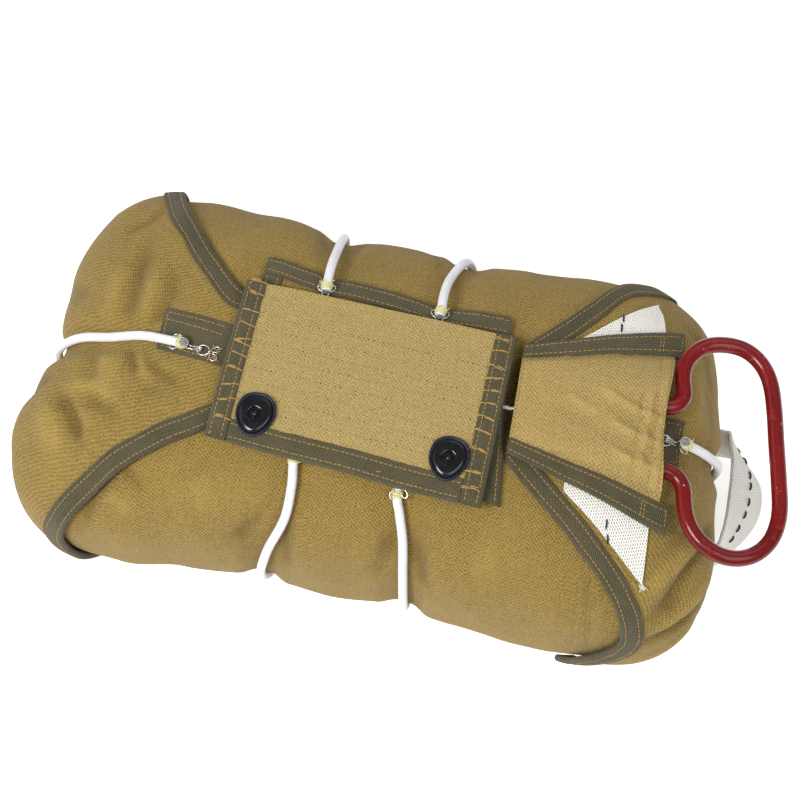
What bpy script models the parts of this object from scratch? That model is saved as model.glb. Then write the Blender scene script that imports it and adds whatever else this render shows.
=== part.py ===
"""Packed chest parachute.

A canvas container folded round its packed canopy, lying on its back and held shut by elastic cords.
+X runs along the pack to the ripcord handle, +Y across it to the upper side, +Z out of its front.
The origin is the middle of the flat base. Shape tables are in millimetres.
"""
import math

import bmesh
import bpy
import numpy as np
from mathutils import Matrix, Vector

MM = 0.001

# Filled body: height of its widest line, and how its cross-sections round off
MID = 54.0
UNDER = 66.0
END_POWER_LEFT = 6.0
END_POWER_RIGHT = 9.0
SIDE_POWER = 3.0
CROWN_POWER = 2.5
SPINE = 110.0
# How far the filling lies inside the end flaps
BODY_TUCK = 1.0

# Columns: x along the pack, half width to the upper side, half width to the lower side, crown height
STATIONS = (
    (-200, 112, 112, 104),
    (-160, 109, 112, 111),
    (-125, 105, 108, 118),
    (-90, 101, 100, 122.5),
    (-46, 96, 95, 124),
    (-10, 99, 98, 124.5),
    (24, 96, 94, 124.5),
    (60, 101, 98, 124.5),
    (110, 106, 101, 122),
    (150, 106, 99, 116),
    (200, 102, 95, 106),
)
# Columns: y across the pack, reach of the left end, reach of the right end
ENDS = (
    (-110, 203, 201),
    (-60, 199, 193),
    (0, 184, 183),
    (55, 188, 176),
    (110, 188, 172),
)
# Soft lumps of the filling. Columns: height, wavelength along x, wavelength across, phase
LUMPS = (
    (0.9, 83, 71, 0.4),
    (0.6, 47, 59, 2.1),
)

# Layers over the body: middle height of each above it, and thickness
CLOTH = 1.1
TAPE = 0.8
WIDTH = 11.0
LOW_LEG = 1.1
SHEET = 2.45
HIGH_LEG = 4.1
FOLD = 0.4
TUCK = 1.6

CORD_RADIUS = 2.5
CORD_CLEAR = 0.7
VALLEY = 15.0
VALLEY_FLOOR = 3.5
# Where an end flap bends into the valley, from the valley's middle
VALLEY_STEPS = (-17, -9.5, -3.5, 3.5, 9.5, 17)

# Cord centre lines. Columns: x, y, z near the body, height of the centre above it, height of the layers
# of cloth between them
CORD_LEFT_CROSS = (
    (-41.8, 38.9, 121, 8.2, 4.2),
    (-42.5, 46, 120, 8.4, 5.2),
    (-43, 54, 118, 7.6, 5.6),
    (-43.5, 62, 114, 4.4, 1.8),
    (-44, 70, 110, 1.0, 0),
    (-44.5, 84, 96, 0.3, 0),
    (-46, 96, 60, 0.2, 0),
    (-46, 90, 26, -0.6, 0),
    (-45, 79, 8, -2.2, 0),
    (-44.5, 60, 0, -3.6, 0),
    (-44, 30, 0, -3.6, 0),
    (-43.5, 0, 0, -3.6, 0),
    (-43, -30, 0, -3.6, 0),
    (-43, -58, 0, -3.6, 0),
    (-44, -78, 8, -2.2, 0),
    (-46, -90, 26, -0.6, 0),
    (-46.5, -95, 50, 0.2, 0),
    (-42, -90, 82, 0.3, 0),
    (-35, -79, 104, 0.6, 0),
    (-34.5, -64, 114, 2.0, 0.8),
    (-36, -54, 118, 2.2, 0.8),
    (-36.5, -47.5, 119, 2.2, 0.8),
)
CORD_RIGHT_CROSS = (
    (20.5, 38.9, 122, 9.0, 4.6),
    (20, 45.5, 121, 9.0, 5.6),
    (19.3, 54, 119, 7.6, 5.6),
    (19.3, 62, 115, 4.4, 1.8),
    (20, 70, 111, 1.0, 0),
    (23.5, 84, 97, 0.3, 0),
    (28, 96, 60, 0.2, 0),
    (29, 90, 26, -0.6, 0),
    (29, 79, 8, -2.2, 0),
    (29, 60, 0, -3.6, 0),
    (29.5, 30, 0, -3.6, 0),
    (30, 0, 0, -3.6, 0),
    (30.5, -30, 0, -3.6, 0),
    (31, -58, 0, -3.6, 0),
    (31.5, -78, 8, -2.2, 0),
    (32.5, -90, 26, -0.6, 0),
    (33, -94, 50, 0.2, 0),
    (32, -90, 80, 0.3, 0),
    (29, -79, 104, 0.6, 0),
    (24.5, -67, 114, 2.0, 0.8),
    (21.5, -60, 117, 2.3, 0.8),
    (20.3, -54.3, 119, 2.4, 0.8),
)
CORD_LENGTHWISE = (
    (-105, -5, 119.5, 8.4, 5.8),
    (-114.5, -3.8, 118, 8.0, 5.6),
    (-130, -2.4, 113.5, 5.4, 3.9),
    (-148, -3, 105, 2.6, 3.1),
    (-164, -3, 94, 1.8, 3.1),
    (-176, -4, 78, 1.2, 3.1),
    (-182, -4, 56, 1.0, 3.1),
    (-178, -4, 30, 1.0, 3.1),
    (-166, -3, 12, 0.0, 2.4),
    (-156, -2, 2, -4.2, 1.2),
    (-146, -1, 0, -4.3, 0.4),
    (-110, 6, 0, -3.6, 0),
    (-80, 14, 0, -4.4, 0),
    (-58, 19, 0, -9.6, 0),
    (-43.5, 21, 0, -10.3, 0),
    (-28, 22, 0, -9.6, 0),
    (-7, 22.5, 0, -7.5, 0),
    (14, 22, 0, -9.6, 0),
    (30, 21.5, 0, -10.3, 0),
    (46, 21, 0, -9.6, 0),
    (68, 20, 0, -4.4, 0),
    (100, 19, 0, -3.6, 0),
    (145, 18, 0, -4.3, 0.4),
    (155, 18.5, 2, -4.2, 1.2),
    (165, 19, 12, -0.4, 2.4),
    (177, 19, 30, 1.0, 3.1),
    (181.5, 16, 56, 1.4, 3.1),
    (179, 12, 77, 2.2, 3.1),
    (173.5, 8.8, 92, 4.2, 3.3),
    (165, 7, 103, 6.8, 4.4),
    (155.5, 6.3, 109.5, 8.4, 5.6),
)

# End flaps, as three lines from the top of the pack over its end to the base. Columns: x, y, z
LEFT_UPPER = (
    (-79.5, 31.5, 121.5), (-90, 36, 120.5), (-106, 52, 116), (-119, 66, 109), (-129, 79, 101), (-137, 94, 83),
    (-139, 103, 60), (-137, 101, 40), (-134, 97, 24),
)
LEFT_MIDDLE = (
    (-79.5, -3, 124), (-96, -3, 122), (-120, -3, 117), (-143, -3, 109), (-165, -3, 94), (-180, -3, 66),
    (-179, -3, 38), (-170, -3, 14),
)
LEFT_LOWER = (
    (-79.5, -41, 120), (-92, -50, 118.5), (-106, -58.5, 115), (-122, -71, 109), (-136, -85, 98), (-148, -97, 81),
    (-153, -103, 60), (-148, -103, 38), (-139, -94, 14),
)
RIGHT_UPPER = (
    (68.5, 37, 122), (83, 54, 119), (96, 71, 113), (108, 87, 102), (120, 97, 90), (130, 103, 72),
    (131, 104, 52), (129, 101, 35), (127, 95, 20),
)
RIGHT_MIDDLE = (
    (71, 10, 124), (100, 10, 122), (130, 7, 118), (156, 6.5, 109), (175, 9.5, 88), (181, 17, 50), (171, 19, 16),
)
RIGHT_LOWER = (
    (72, -28, 123), (94, -44.5, 120), (111, -57, 117), (128, -69.5, 109), (141, -79.5, 99), (149, -88, 87),
    (150, -94, 73), (141, -98, 57), (129, -98, 42), (119, -95, 24),
)
FLAP_ROWS = 17

# Four-sided pieces on top of the pack, as their corners. Columns: x, y
INNER_PANEL = ((-77.5, 56.5), (57.5, 50.5), (74.0, -52.0), (-77.5, -38.0))
CENTRE_FLAP = ((-84.0, 36.5), (63.0, 36.0), (65.0, -55.0), (-84.0, -50.0))
POCKET = ((67.5, 34.5), (145.5, 66.5), (158.5, -44.5), (71.5, -25.0))
LEFT_TAB = ((-124.0, 16.5), (-84.9, 12.0), (-84.9, -12.0), (-123.0, -7.5))
RIGHT_TAB = ((147.0, 18.0), (157.0, 19.8), (158.7, -6.5), (150.2, -8.5))

# Height of the centre flap's lowest leg above the body, at its left and right edges
FLAP_LEFT_LIFT = 7.2
FLAP_RIGHT_LIFT = 8.6
POCKET_EDGE_LIFT = 6.0
POCKET_MOUTH = 0.955
# Shares of the pocket's width over which its cloth rises from each tape
POCKET_UPPER_SLOPE = 0.3
POCKET_LOWER_SLOPE = 0.19

# Level of the pocket's raised middle. Columns: x along the pack, height
POCKET_TOP = ((70, 132.4), (115, 133.0), (134, 133.0), (165, 130.0))

# Ripcord handle
ROD_RADIUS = 4.35
HANDLE_PITCH = math.radians(6.0)
HANDLE_X = 134.0
HANDLE_Z = 127.4
HANDLE_POINTS = 46
# Columns: x, y of the rod's centre line
HANDLE = (
    (134, 10), (134, 14), (136.5, 18.5), (142, 20.3), (149, 20.8), (153.6, 23.5), (155.8, 29.5), (153, 39),
    (153.6, 49.5), (160, 58.5), (170, 63), (182, 63.3), (192, 58), (199, 48.5), (204, 34), (208.5, 16.5),
    (213.5, -2.5), (217.5, -20.5), (216.5, -34.5), (211, -44.5), (202.5, -50.2), (192, -51.5),
    (181, -47.5), (172.5, -39.5), (168, -29.5), (165.6, -21), (160.5, -15.2), (152, -13.8), (142, -14),
    (136.5, -12), (134, -7.5), (134, -2),
)
CABLE_RADIUS = 1.2
# Columns: x, y, z of the cable's centre line
CABLE = ((61.5, -1, 130.6), (75, -1, 130.4), (95, -1, 129.7), (115, -0.5, 128.7), (129.2, 0, 127.7))

# Carrying loop on the right end. Columns: x, y of the band's middle, how far its foot stands out
LOOP = ((183.0, 44, 0), (188.0, 41.0, 5), (194.5, 35, 14), (199.5, 26, 19), (202.0, 14, 20), (202.0, 4, 18),
        (199.8, -6, 13), (196.8, -15, 7), (193.3, -24, 2), (190.0, -31, 0))
LOOP_WIDE, LOOP_THICK = 40.0, 2.2
LOOP_MIDDLE = 36.0

WIRE_RADIUS = 0.55
EAR_RADIUS = 1.7
WHIP_INNER, WHIP_OUTER, WHIP_LENGTH = 2.85, 3.6, 4.0

# Snap fasteners. Columns: name, x, y
FASTENERS = (("left", -60.4, -35.3), ("right", 43.5, -35.8))
SOCKET_WIDE, SOCKET_TALL = 10.3, 11.8

# Columns: name, colour, roughness, metallic
MATERIALS = {
    "canvas": ((0.36, 0.22, 0.07), 0.95, 0.0),
    "flap canvas": ((0.38, 0.24, 0.08), 0.95, 0.0),
    "olive tape": ((0.14, 0.12, 0.065), 0.95, 0.0),
    "cream webbing": ((0.80, 0.72, 0.58), 0.9, 0.0),
    "white elastic": ((0.85, 0.86, 0.90), 0.6, 0.0),
    "yellow thread": ((0.80, 0.74, 0.36), 0.8, 0.0),
    "red enamel": ((0.30, 0.012, 0.012), 0.25, 0.0),
    "bright wire": ((0.66, 0.65, 0.62), 0.3, 1.0),
    "black enamel": ((0.006, 0.008, 0.014), 0.2, 0.0),
    "cable steel": ((0.55, 0.54, 0.50), 0.35, 1.0),
}


def clear_scene():
    for item in list(bpy.data.objects):
        bpy.data.objects.remove(item, do_unlink=True)


def material(name):
    if name in bpy.data.materials:
        return bpy.data.materials[name]
    colour, roughness, metallic = MATERIALS[name]
    made = bpy.data.materials.new(name)
    made.use_nodes = True
    shader = made.node_tree.nodes["Principled BSDF"]
    shader.inputs["Base Color"].default_value = (*colour, 1)
    shader.inputs["Roughness"].default_value = roughness
    shader.inputs["Metallic"].default_value = metallic
    made.diffuse_color = (*colour, 1)
    return made


def ease(share):
    share = min(1.0, max(0.0, share))
    return share * share * (3 - 2 * share)


def read_table(rows, at, column):
    """Value of a table's column at a place between its rows, eased from row to row."""
    if at <= rows[0][0]:
        return rows[0][column]
    for before, after in zip(rows, rows[1:]):
        if at <= after[0]:
            share = ease((at - before[0]) / (after[0] - before[0]))
            return before[column] + (after[column] - before[column]) * share
    return rows[-1][column]


def gauge(point):
    """Below one inside the filled body and above one outside it."""
    x, y, z = point
    left = x < 0
    reach = read_table(ENDS, y, 1 if left else 2)
    side = read_table(STATIONS, x, 1 if y > 0 else 2)
    rise = read_table(STATIONS, x, 3) - MID if z > MID else UNDER
    end = (abs(x) / reach) ** (END_POWER_LEFT if left else END_POWER_RIGHT)
    return end + (abs(y) / side) ** SIDE_POWER + (abs(z - MID) / rise) ** CROWN_POWER


def outward(point):
    step = 0.5
    slope = Vector()
    for axis in range(3):
        nudge = Vector()
        nudge[axis] = step
        slope[axis] = gauge(point + nudge) - gauge(point - nudge)
    return slope.normalized()


def lump(point):
    if point.z < MID:
        return 0.0
    height = 0.0
    for size, along, across, phase in LUMPS:
        wave = math.sin(2 * math.pi * point.x / along + phase) * math.sin(2 * math.pi * point.y / across + phase)
        height += size * wave
    return height * ease((point.z - MID) / 30) * ease((abs(point.y) - 35) / 30)


def bare_skin(point):
    """Point of the body's outer surface seen from its spine towards a point, and its normal there."""
    point = Vector(point)
    base = Vector((max(-SPINE, min(SPINE, point.x)), 0, MID))
    ray = (point - base).normalized()
    near, far = 20.0, 260.0
    for _ in range(28):
        middle = (near + far) / 2
        if gauge(base + ray * middle) < 1:
            near = middle
        else:
            far = middle
    hit = base + ray * far
    if hit.z < 0:
        return base + ray * (MID / -ray.z), Vector((0, 0, -1))
    normal = outward(hit)
    return hit + normal * lump(hit), normal


class Valleys:
    """How far the cords draw the canvas in, from the cords' centre lines."""

    def __init__(self):
        self.centres = np.zeros((0, 3))
        self.sinks = np.zeros(0)

    def add(self, centres, layers):
        sinks = []
        for centre, layer in zip(centres, layers):
            hit, normal = bare_skin(centre)
            sinks.append(max(0.0, CORD_RADIUS + CORD_CLEAR + layer - (centre - hit).dot(normal)))
        self.centres = np.vstack((self.centres, [tuple(c) for c in centres]))
        self.sinks = np.append(self.sinks, sinks)

    def depth(self, hit, normal):
        if not len(self.sinks):
            return 0.0
        away = np.array(hit) - self.centres
        along = away @ np.array(normal)
        flat = away - along[:, None] * np.array(normal)
        distance = np.sqrt((flat ** 2).sum(axis=1))
        near = np.abs(along) < 22
        share = np.clip((distance - VALLEY_FLOOR) / (VALLEY - VALLEY_FLOOR), 0, 1)
        fall = 1 - share * share * (3 - 2 * share)
        return float(np.max(np.where(near, self.sinks * fall, 0)))


valleys = Valleys()


def on_skin(point, lift=0.0):
    hit, normal = bare_skin(point)
    return hit + normal * (lift - valleys.depth(hit, normal))


def above(x, y):
    """Point of the body's top over a place in plan."""
    low, high = MID, 140.0
    for _ in range(26):
        middle = (low + high) / 2
        if gauge((x, y, middle)) < 1:
            low = middle
        else:
            high = middle
    return Vector((x, y, high))


def smooth_line(rows, count):
    """Evenly spaced points of a smooth curve through the rows."""
    rows = [np.array(row, float) for row in rows]
    ends = [2 * rows[0] - rows[1]] + rows + [2 * rows[-1] - rows[-2]]
    dense = []
    for a, b, c, d in zip(ends, ends[1:], ends[2:], ends[3:]):
        for step in range(12):
            t = step / 12
            dense.append(0.5 * (2 * b + (c - a) * t + (2 * a - 5 * b + 4 * c - d) * t ** 2
                                + (3 * b - a - 3 * c + d) * t ** 3))
    dense.append(rows[-1])
    dense = np.array(dense)
    lengths = np.append(0, np.cumsum(np.linalg.norm(np.diff(dense[:, :3], axis=0), axis=1)))
    places = np.linspace(0, lengths[-1], count)
    return [np.array([np.interp(place, lengths, dense[:, k]) for k in range(dense.shape[1])])
            for place in places]


def link(made, material_name, parent):
    made.data.materials.append(material(material_name))
    bpy.data.collections["Packed parachute"].objects.link(made)
    made.parent = parent
    made.matrix_parent_inverse = parent.matrix_world.inverted()
    return made


def cloth(name, grid, thickness, material_name, parent):
    """Sheet through a grid of points, rows of columns, thickened on both sides alike."""
    rows, columns = len(grid), len(grid[0])
    bm = bmesh.new()
    bmesh.ops.create_grid(bm, x_segments=rows - 1, y_segments=columns - 1, size=1)
    bm.verts.ensure_lookup_table()
    for vert in bm.verts:
        row = round((vert.co.x + 1) / 2 * (rows - 1))
        column = round((vert.co.y + 1) / 2 * (columns - 1))
        vert.co = Vector(grid[row][column]) * MM
    mesh = bpy.data.meshes.new(name)
    bm.to_mesh(mesh)
    bm.free()
    made = link(bpy.data.objects.new(name, mesh), material_name, parent)
    shell = made.modifiers.new("Thickness", "SOLIDIFY")
    shell.thickness = thickness * MM
    shell.offset = 0
    mesh.shade_smooth()
    mesh.set_sharp_from_angle(angle=math.radians(50))
    return made


def tube(name, points, radius, resolution, material_name, parent, closed=False):
    curve = bpy.data.curves.new(name, "CURVE")
    curve.dimensions = "3D"
    curve.bevel_depth = radius * MM
    curve.bevel_resolution = resolution
    curve.use_fill_caps = not closed
    spline = curve.splines.new("POLY")
    spline.points.add(len(points) - 1)
    for knot, point in zip(spline.points, points):
        knot.co = (*(Vector(point) * MM), 1)
    spline.use_cyclic_u = closed
    return link(bpy.data.objects.new(name, curve), material_name, parent)


# Rows of an end flap, which run across it from its upper edge to its lower edge
class Row:
    def __init__(self, upper, middle, lower):
        upper, middle, lower = Vector(upper), Vector(middle), Vector(lower)
        self.points = []
        for step in range(33):
            t = step / 32
            guess = upper * (1 - t) * (1 - 2 * t) + middle * 4 * t * (1 - t) + lower * t * (2 * t - 1)
            self.points.append(bare_skin(guess)[0])
        gaps = [(b - a).length for a, b in zip(self.points, self.points[1:])]
        self.lengths = np.append(0, np.cumsum(gaps))
        self.length = float(self.lengths[-1])
        self.middle = float(self.lengths[16])

    def at(self, distance):
        return Vector([np.interp(distance, self.lengths, [p[k] for p in self.points]) for k in range(3)])


def flap_rows(upper, middle, lower):
    count = FLAP_ROWS + 1
    lines = [smooth_line(line, count) for line in (upper, middle, lower)]
    return [Row(u, m, l) for u, m, l in zip(*lines)]


def slants(rows, end):
    """How much longer a tape's width is along each row than square across the edge."""
    edge = [row.at(0 if end == 0 else row.length) for row in rows]
    found = []
    for k, row in enumerate(rows):
        run = (edge[min(k + 1, len(rows) - 1)] - edge[max(k - 1, 0)]).normalized()
        inward = row.at(12) - row.at(0) if end == 0 else row.at(row.length - 12) - row.at(row.length)
        found.append(1 / max(0.55, run.cross(inward.normalized()).length))
    return found


def bound_edge(outer, inner, bends=1):
    """Grid of a tape folded round an edge, between its outer and inner lines on the body."""
    grid = []
    for far, near in zip(outer, inner):
        lip = far.lerp(near, FOLD / (near - far).length)
        leg = [near.lerp(lip, bend / bends) for bend in range(bends + 1)]
        lower = [on_skin(point, LOW_LEG) for point in leg]
        upper = [on_skin(point, HIGH_LEG) for point in reversed(leg)]
        grid.append([*lower, on_skin(far, (LOW_LEG + HIGH_LEG) / 2), *upper])
    return grid


def end_flap(side, lines, parent):
    rows = flap_rows(*lines)
    wide = (slants(rows, 0), slants(rows, 1))
    grid = []
    for row, first, last in zip(rows, *wide):
        upper, lower = WIDTH * first, row.length - WIDTH * last
        valley = [row.middle + step for step in VALLEY_STEPS]
        sides = [upper + (valley[0] - upper) * t for t in (0, 0.2, 0.4, 0.6, 0.8)]
        others = [valley[-1] + (lower - valley[-1]) * t for t in (0.17, 0.34, 0.5, 0.67, 0.84, 1)]
        places = [TUCK * first, *sides, *valley, *others, row.length - TUCK * last]
        grid.append([on_skin(row.at(place), SHEET) for place in places])
    cloth(f"{side}_end_flap", grid, CLOTH, "flap canvas", parent)
    upper = [[row.at(0) for row in rows], [row.at(WIDTH * s) for row, s in zip(rows, wide[0])]]
    lower = [[row.at(row.length) for row in rows],
             [row.at(row.length - WIDTH * s) for row, s in zip(rows, wide[1])]]
    cloth(f"{side}_flap_upper_binding", bound_edge(*upper), TAPE, "olive tape", parent)
    cloth(f"{side}_flap_lower_binding", bound_edge(*lower), TAPE, "olive tape", parent)


class Patch:
    """Four-sided piece in plan, read by shares along it and across it from its upper edge."""

    def __init__(self, corners):
        self.corners = [Vector((*corner, 0)) for corner in corners]
        a, b, c, d = self.corners
        self.length = ((b - a).length + (c - d).length) / 2
        self.depth = ((d - a).length + (c - b).length) / 2

    def plan(self, along, across):
        a, b, c, d = self.corners
        return a.lerp(b, along).lerp(d.lerp(c, along), across)

    def at(self, along, across):
        place = self.plan(along, across)
        return above(place.x, place.y)


def spread(first, last, count):
    return list(np.linspace(first, last, count))


def tape_line(patch, side, places, inset):
    """Points of the patch at a distance from one side, at shares along that side."""
    found = []
    for place in places:
        if side == "upper":
            found.append(patch.at(place, inset / patch.depth))
        elif side == "lower":
            found.append(patch.at(place, 1 - inset / patch.depth))
        elif side == "left":
            found.append(patch.at(inset / patch.length, place))
        else:
            found.append(patch.at(1 - inset / patch.length, place))
    return found


def patch_tape(name, patch, side, places, bends, parent):
    outer = tape_line(patch, side, places, 0)
    inner = tape_line(patch, side, places, WIDTH)
    cloth(name, bound_edge(outer, inner, bends), TAPE, "olive tape", parent)


def cube_lines():
    """Where the body's cage is cut, close together at the cords. Positions along x, y and z."""
    along = [-178, -158, -138, -118, -98, -78, -63, -54, -47.5, -41, -34.5, -26, -10, 7, 16, 23, 29.5, 36, 46,
             62, 82, 102, 122, 142, 160, 177]
    across = [-80, -58, -36, -15, -6, 0, 8, 16, 23, 31, 42, 60, 80]
    up = [5, 28, 52, 76, 100]
    return along, across, up


def packed_body(parent):
    bm = bmesh.new()
    bmesh.ops.create_cube(bm, size=1)
    bmesh.ops.transform(bm, verts=bm.verts, matrix=Matrix.Diagonal((400, 200, 140, 1)))
    bmesh.ops.translate(bm, verts=bm.verts, vec=(0, 0, MID))
    for axis, places in enumerate(cube_lines()):
        for place in places:
            where, square = Vector(), Vector()
            where[axis], square[axis] = place, 1
            geometry = bm.verts[:] + bm.edges[:] + bm.faces[:]
            bmesh.ops.bisect_plane(bm, geom=geometry, plane_co=where, plane_no=square)
    for vert in bm.verts:
        tuck = BODY_TUCK * ease((abs(vert.co.x) - 90) / 40)
        vert.co = on_skin(vert.co, -tuck if vert.co.z > 0 else 0) * MM
    mesh = bpy.data.meshes.new("packed_body")
    bm.to_mesh(mesh)
    bm.free()
    mesh.shade_smooth()
    return link(bpy.data.objects.new("packed_body", mesh), "canvas", parent)


def cord_centres(rows, count):
    """Points of a cord's centre line, and the height of the layers under each."""
    centres, layers = [], []
    for x, y, z, lift, layer in smooth_line(rows, count):
        hit, normal = bare_skin((x, y, z))
        centres.append(hit + normal * lift)
        layers.append(layer)
    return centres, layers


def inner_panel(parent):
    patch = Patch(INNER_PANEL)
    along = [TUCK / patch.length, *spread(WIDTH / patch.length, 1 - WIDTH / patch.length, 21),
             1 - TUCK / patch.length]
    middle = (WIDTH + FOLD) / 2
    across = [TUCK / patch.depth, middle / patch.depth, WIDTH / patch.depth, 0.35, 0.65, 0.85, 1.0]
    grid = [[on_skin(patch.at(s, t), SHEET) for t in across] for s in along]
    cloth("inner_panel", grid, CLOTH, "canvas", parent)
    gap = (WIDTH + 0.5) / patch.depth
    patch_tape("inner_panel_top_tape", patch, "upper", [0, *along[1:-1], 1], 2, parent)
    for side in ("left", "right"):
        patch_tape(f"inner_panel_{side}_tape", patch, side, [gap, *across[3:]], 1, parent)


def flap_lift(along):
    return FLAP_LEFT_LIFT + (FLAP_RIGHT_LIFT - FLAP_LEFT_LIFT) * along - LOW_LEG


def flap_point(patch, along, across, lift):
    hit, normal = bare_skin(patch.at(along, across))
    return hit + normal * (lift + flap_lift(along))


def flat_tape(patch, side, places):
    """Grid of a tape folded round an edge of the centre flap, which bridges the cords below it."""
    grid = []
    size = patch.length if side in ("left", "right") else patch.depth
    insets = ((WIDTH, LOW_LEG), (FOLD, LOW_LEG), (0, (LOW_LEG + HIGH_LEG) / 2), (FOLD, HIGH_LEG),
              (WIDTH, HIGH_LEG))
    for place in places:
        line = []
        for inset, lift in insets:
            share = inset / size
            if side in ("right", "lower"):
                share = 1 - share
            along, across = (share, place) if side in ("left", "right") else (place, share)
            line.append(flap_point(patch, along, across, lift))
        grid.append(line)
    return grid


def centre_flap(parent):
    patch = Patch(CENTRE_FLAP)
    tuck, wide = TUCK / patch.length, WIDTH / patch.length
    along = [tuck, *spread(wide, 1 - wide, 14), 1 - tuck]
    across = [0.0, 0.2, 0.4, 0.6, 0.75, 1 - WIDTH / patch.depth, 1 - TUCK / patch.depth]
    grid = [[flap_point(patch, s, t, SHEET) for t in across] for s in along]
    sheet = cloth("centre_flap", grid, CLOTH, "flap canvas", parent)
    cloth("centre_flap_left_tape", flat_tape(patch, "left", [0, *across[1:-1], 1]), TAPE, "olive tape", parent)
    cloth("centre_flap_right_tape", flat_tape(patch, "right", [0, *across[1:-1], 1]), TAPE, "olive tape", parent)
    gap = (WIDTH + 0.5) / patch.length
    cloth("centre_flap_bottom_tape", flat_tape(patch, "lower", [gap, *along[2:-2], 1 - gap]), TAPE,
          "olive tape", parent)
    return sheet


def pocket_point(patch, along, across, inner):
    """Point of the pocket, low at its two tapes and raised over the handle between them."""
    hit, normal = bare_skin(patch.at(along, across))
    low = hit + normal * (POCKET_EDGE_LIFT - LOW_LEG + SHEET)
    high = Vector((low.x, low.y, max(low.z, read_table(POCKET_TOP, low.x, 1))))
    share = min(1, inner / POCKET_UPPER_SLOPE, (1 - inner) / POCKET_LOWER_SLOPE)
    return low.lerp(high, math.sin(math.pi / 2 * share))


def pocket(parent):
    patch = Patch(POCKET)
    wide, tuck = WIDTH / patch.depth, TUCK / patch.depth
    along = spread(0, POCKET_MOUTH, 11)
    across = [tuck, wide, *spread(0.2, 0.82, 9), 1 - wide, 1 - tuck]
    grid = []
    for s in along:
        line = []
        for t in across:
            inner = (t - wide) / (1 - 2 * wide)
            line.append(pocket_point(patch, s, t, min(1, max(0, inner))))
        grid.append(line)
    cloth("ripcord_pocket", grid, CLOTH, "flap canvas", parent)
    base = POCKET_EDGE_LIFT - LOW_LEG
    for side in ("upper", "lower"):
        outer = tape_line(patch, side, [*along, 1], 0)
        inner = tape_line(patch, side, [*along, 1], WIDTH)
        grid = []
        for far, near in zip(outer, inner):
            lip = far.lerp(near, FOLD / WIDTH)
            line = []
            for spot, lift in ((near, LOW_LEG), (lip, LOW_LEG), (far, (LOW_LEG + HIGH_LEG) / 2),
                               (lip, HIGH_LEG), (near, HIGH_LEG)):
                hit, normal = bare_skin(spot)
                line.append(hit + normal * (base + lift))
            grid.append(line)
        cloth(f"pocket_{side}_tape", grid, TAPE, "olive tape", parent)


def tab(name, corners, lift, parent):
    patch = Patch(corners)
    grid = [[on_skin(patch.at(s, t), lift) for t in spread(0, 1, 8)] for s in spread(0, 1, 7)]
    cloth(name, grid, CLOTH, "olive tape", parent)


def reinforcement(parent):
    """Webbing sewn across the right flap, between its two tapes."""
    right_edge = ((131, 84), (138, 63), (152, -46), (154.5, -70))
    left_edge = ((96.5, 48.5), (98, 20), (101, -10), (105, -36.5))
    grid = []
    rights = smooth_line([(*p, 0) for p in right_edge], 16)
    lefts = smooth_line([(*p, 0) for p in left_edge], 16)
    for left, right in zip(lefts, rights):
        line = []
        for t in spread(0, 1, 6):
            place = Vector(left).lerp(Vector(right), t)
            line.append(on_skin(above(place.x, place.y), SHEET + CLOTH + 0.65))
        grid.append(line)
    cloth("reinforcing_webbing", grid, CLOTH, "cream webbing", parent)


def handle_point(x, y):
    return Vector((x, y, HANDLE_Z - math.tan(HANDLE_PITCH) * (x - HANDLE_X)))


def ripcord(parent):
    knots = [(*point, 0) for point in HANDLE]
    ring = knots[-3:] + knots + knots[:3]
    dense = [p for p in smooth_line(ring, 400)]
    start = min(range(60), key=lambda k: (Vector(dense[k]) - Vector(knots[0])).length)
    end = min(range(340, 400), key=lambda k: (Vector(dense[k]) - Vector(knots[0])).length)
    loop = dense[start:end]
    picks = [loop[round(k * len(loop) / HANDLE_POINTS) % len(loop)] for k in range(HANDLE_POINTS)]
    rod = [handle_point(p[0], p[1]) for p in picks]
    tube("ripcord_handle", rod, ROD_RADIUS, 2, "red enamel", parent, closed=True)
    cable = [Vector(p) for p in smooth_line(CABLE, 14)]
    tube("ripcord_cable", cable, CABLE_RADIUS, 2, "cable steel", parent)


def carrying_loop(parent):
    grid = []
    for x, y, lean in smooth_line(LOOP, 17):
        rise = math.sqrt(LOOP_WIDE ** 2 - lean ** 2) / 2
        grid.append([Vector((x - lean / 2 * share, y, LOOP_MIDDLE + rise * share)) for share in spread(-1, 1, 4)])
    for line in (grid[0], grid[-1]):
        line[:] = [on_skin(point, SHEET + CLOTH / 2 + 0.9) for point in line]
    cloth("carrying_loop", grid, LOOP_THICK, "cream webbing", parent)


def cord_end_frame(centres):
    """Axes at a cord's first point: out of its end, sideways and up."""
    out = (centres[0] - centres[1]).normalized()
    up = bare_skin(centres[0])[1]
    side = up.cross(out).normalized()
    return Matrix((out, side, out.cross(side))).transposed().to_4x4(), centres[0]


def whipping(name, centres, parent):
    """Thread wound round a cord's end."""
    frame, tip = cord_end_frame(centres)
    bm = bmesh.new()
    profile = [(WHIP_INNER, 1.4), (WHIP_OUTER - 0.3, 1.4), (WHIP_OUTER, 2.2), (WHIP_OUTER, WHIP_LENGTH + 0.6),
               (WHIP_OUTER - 0.3, WHIP_LENGTH + 1.4), (WHIP_INNER, WHIP_LENGTH + 1.4)]
    spin(bm, profile, 10)
    turn = Matrix.Rotation(-math.pi / 2, 4, "Y")
    bmesh.ops.transform(bm, verts=bm.verts, matrix=Matrix.Translation(tip) @ frame @ turn)
    return solid(name, bm, "yellow thread", parent)


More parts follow.
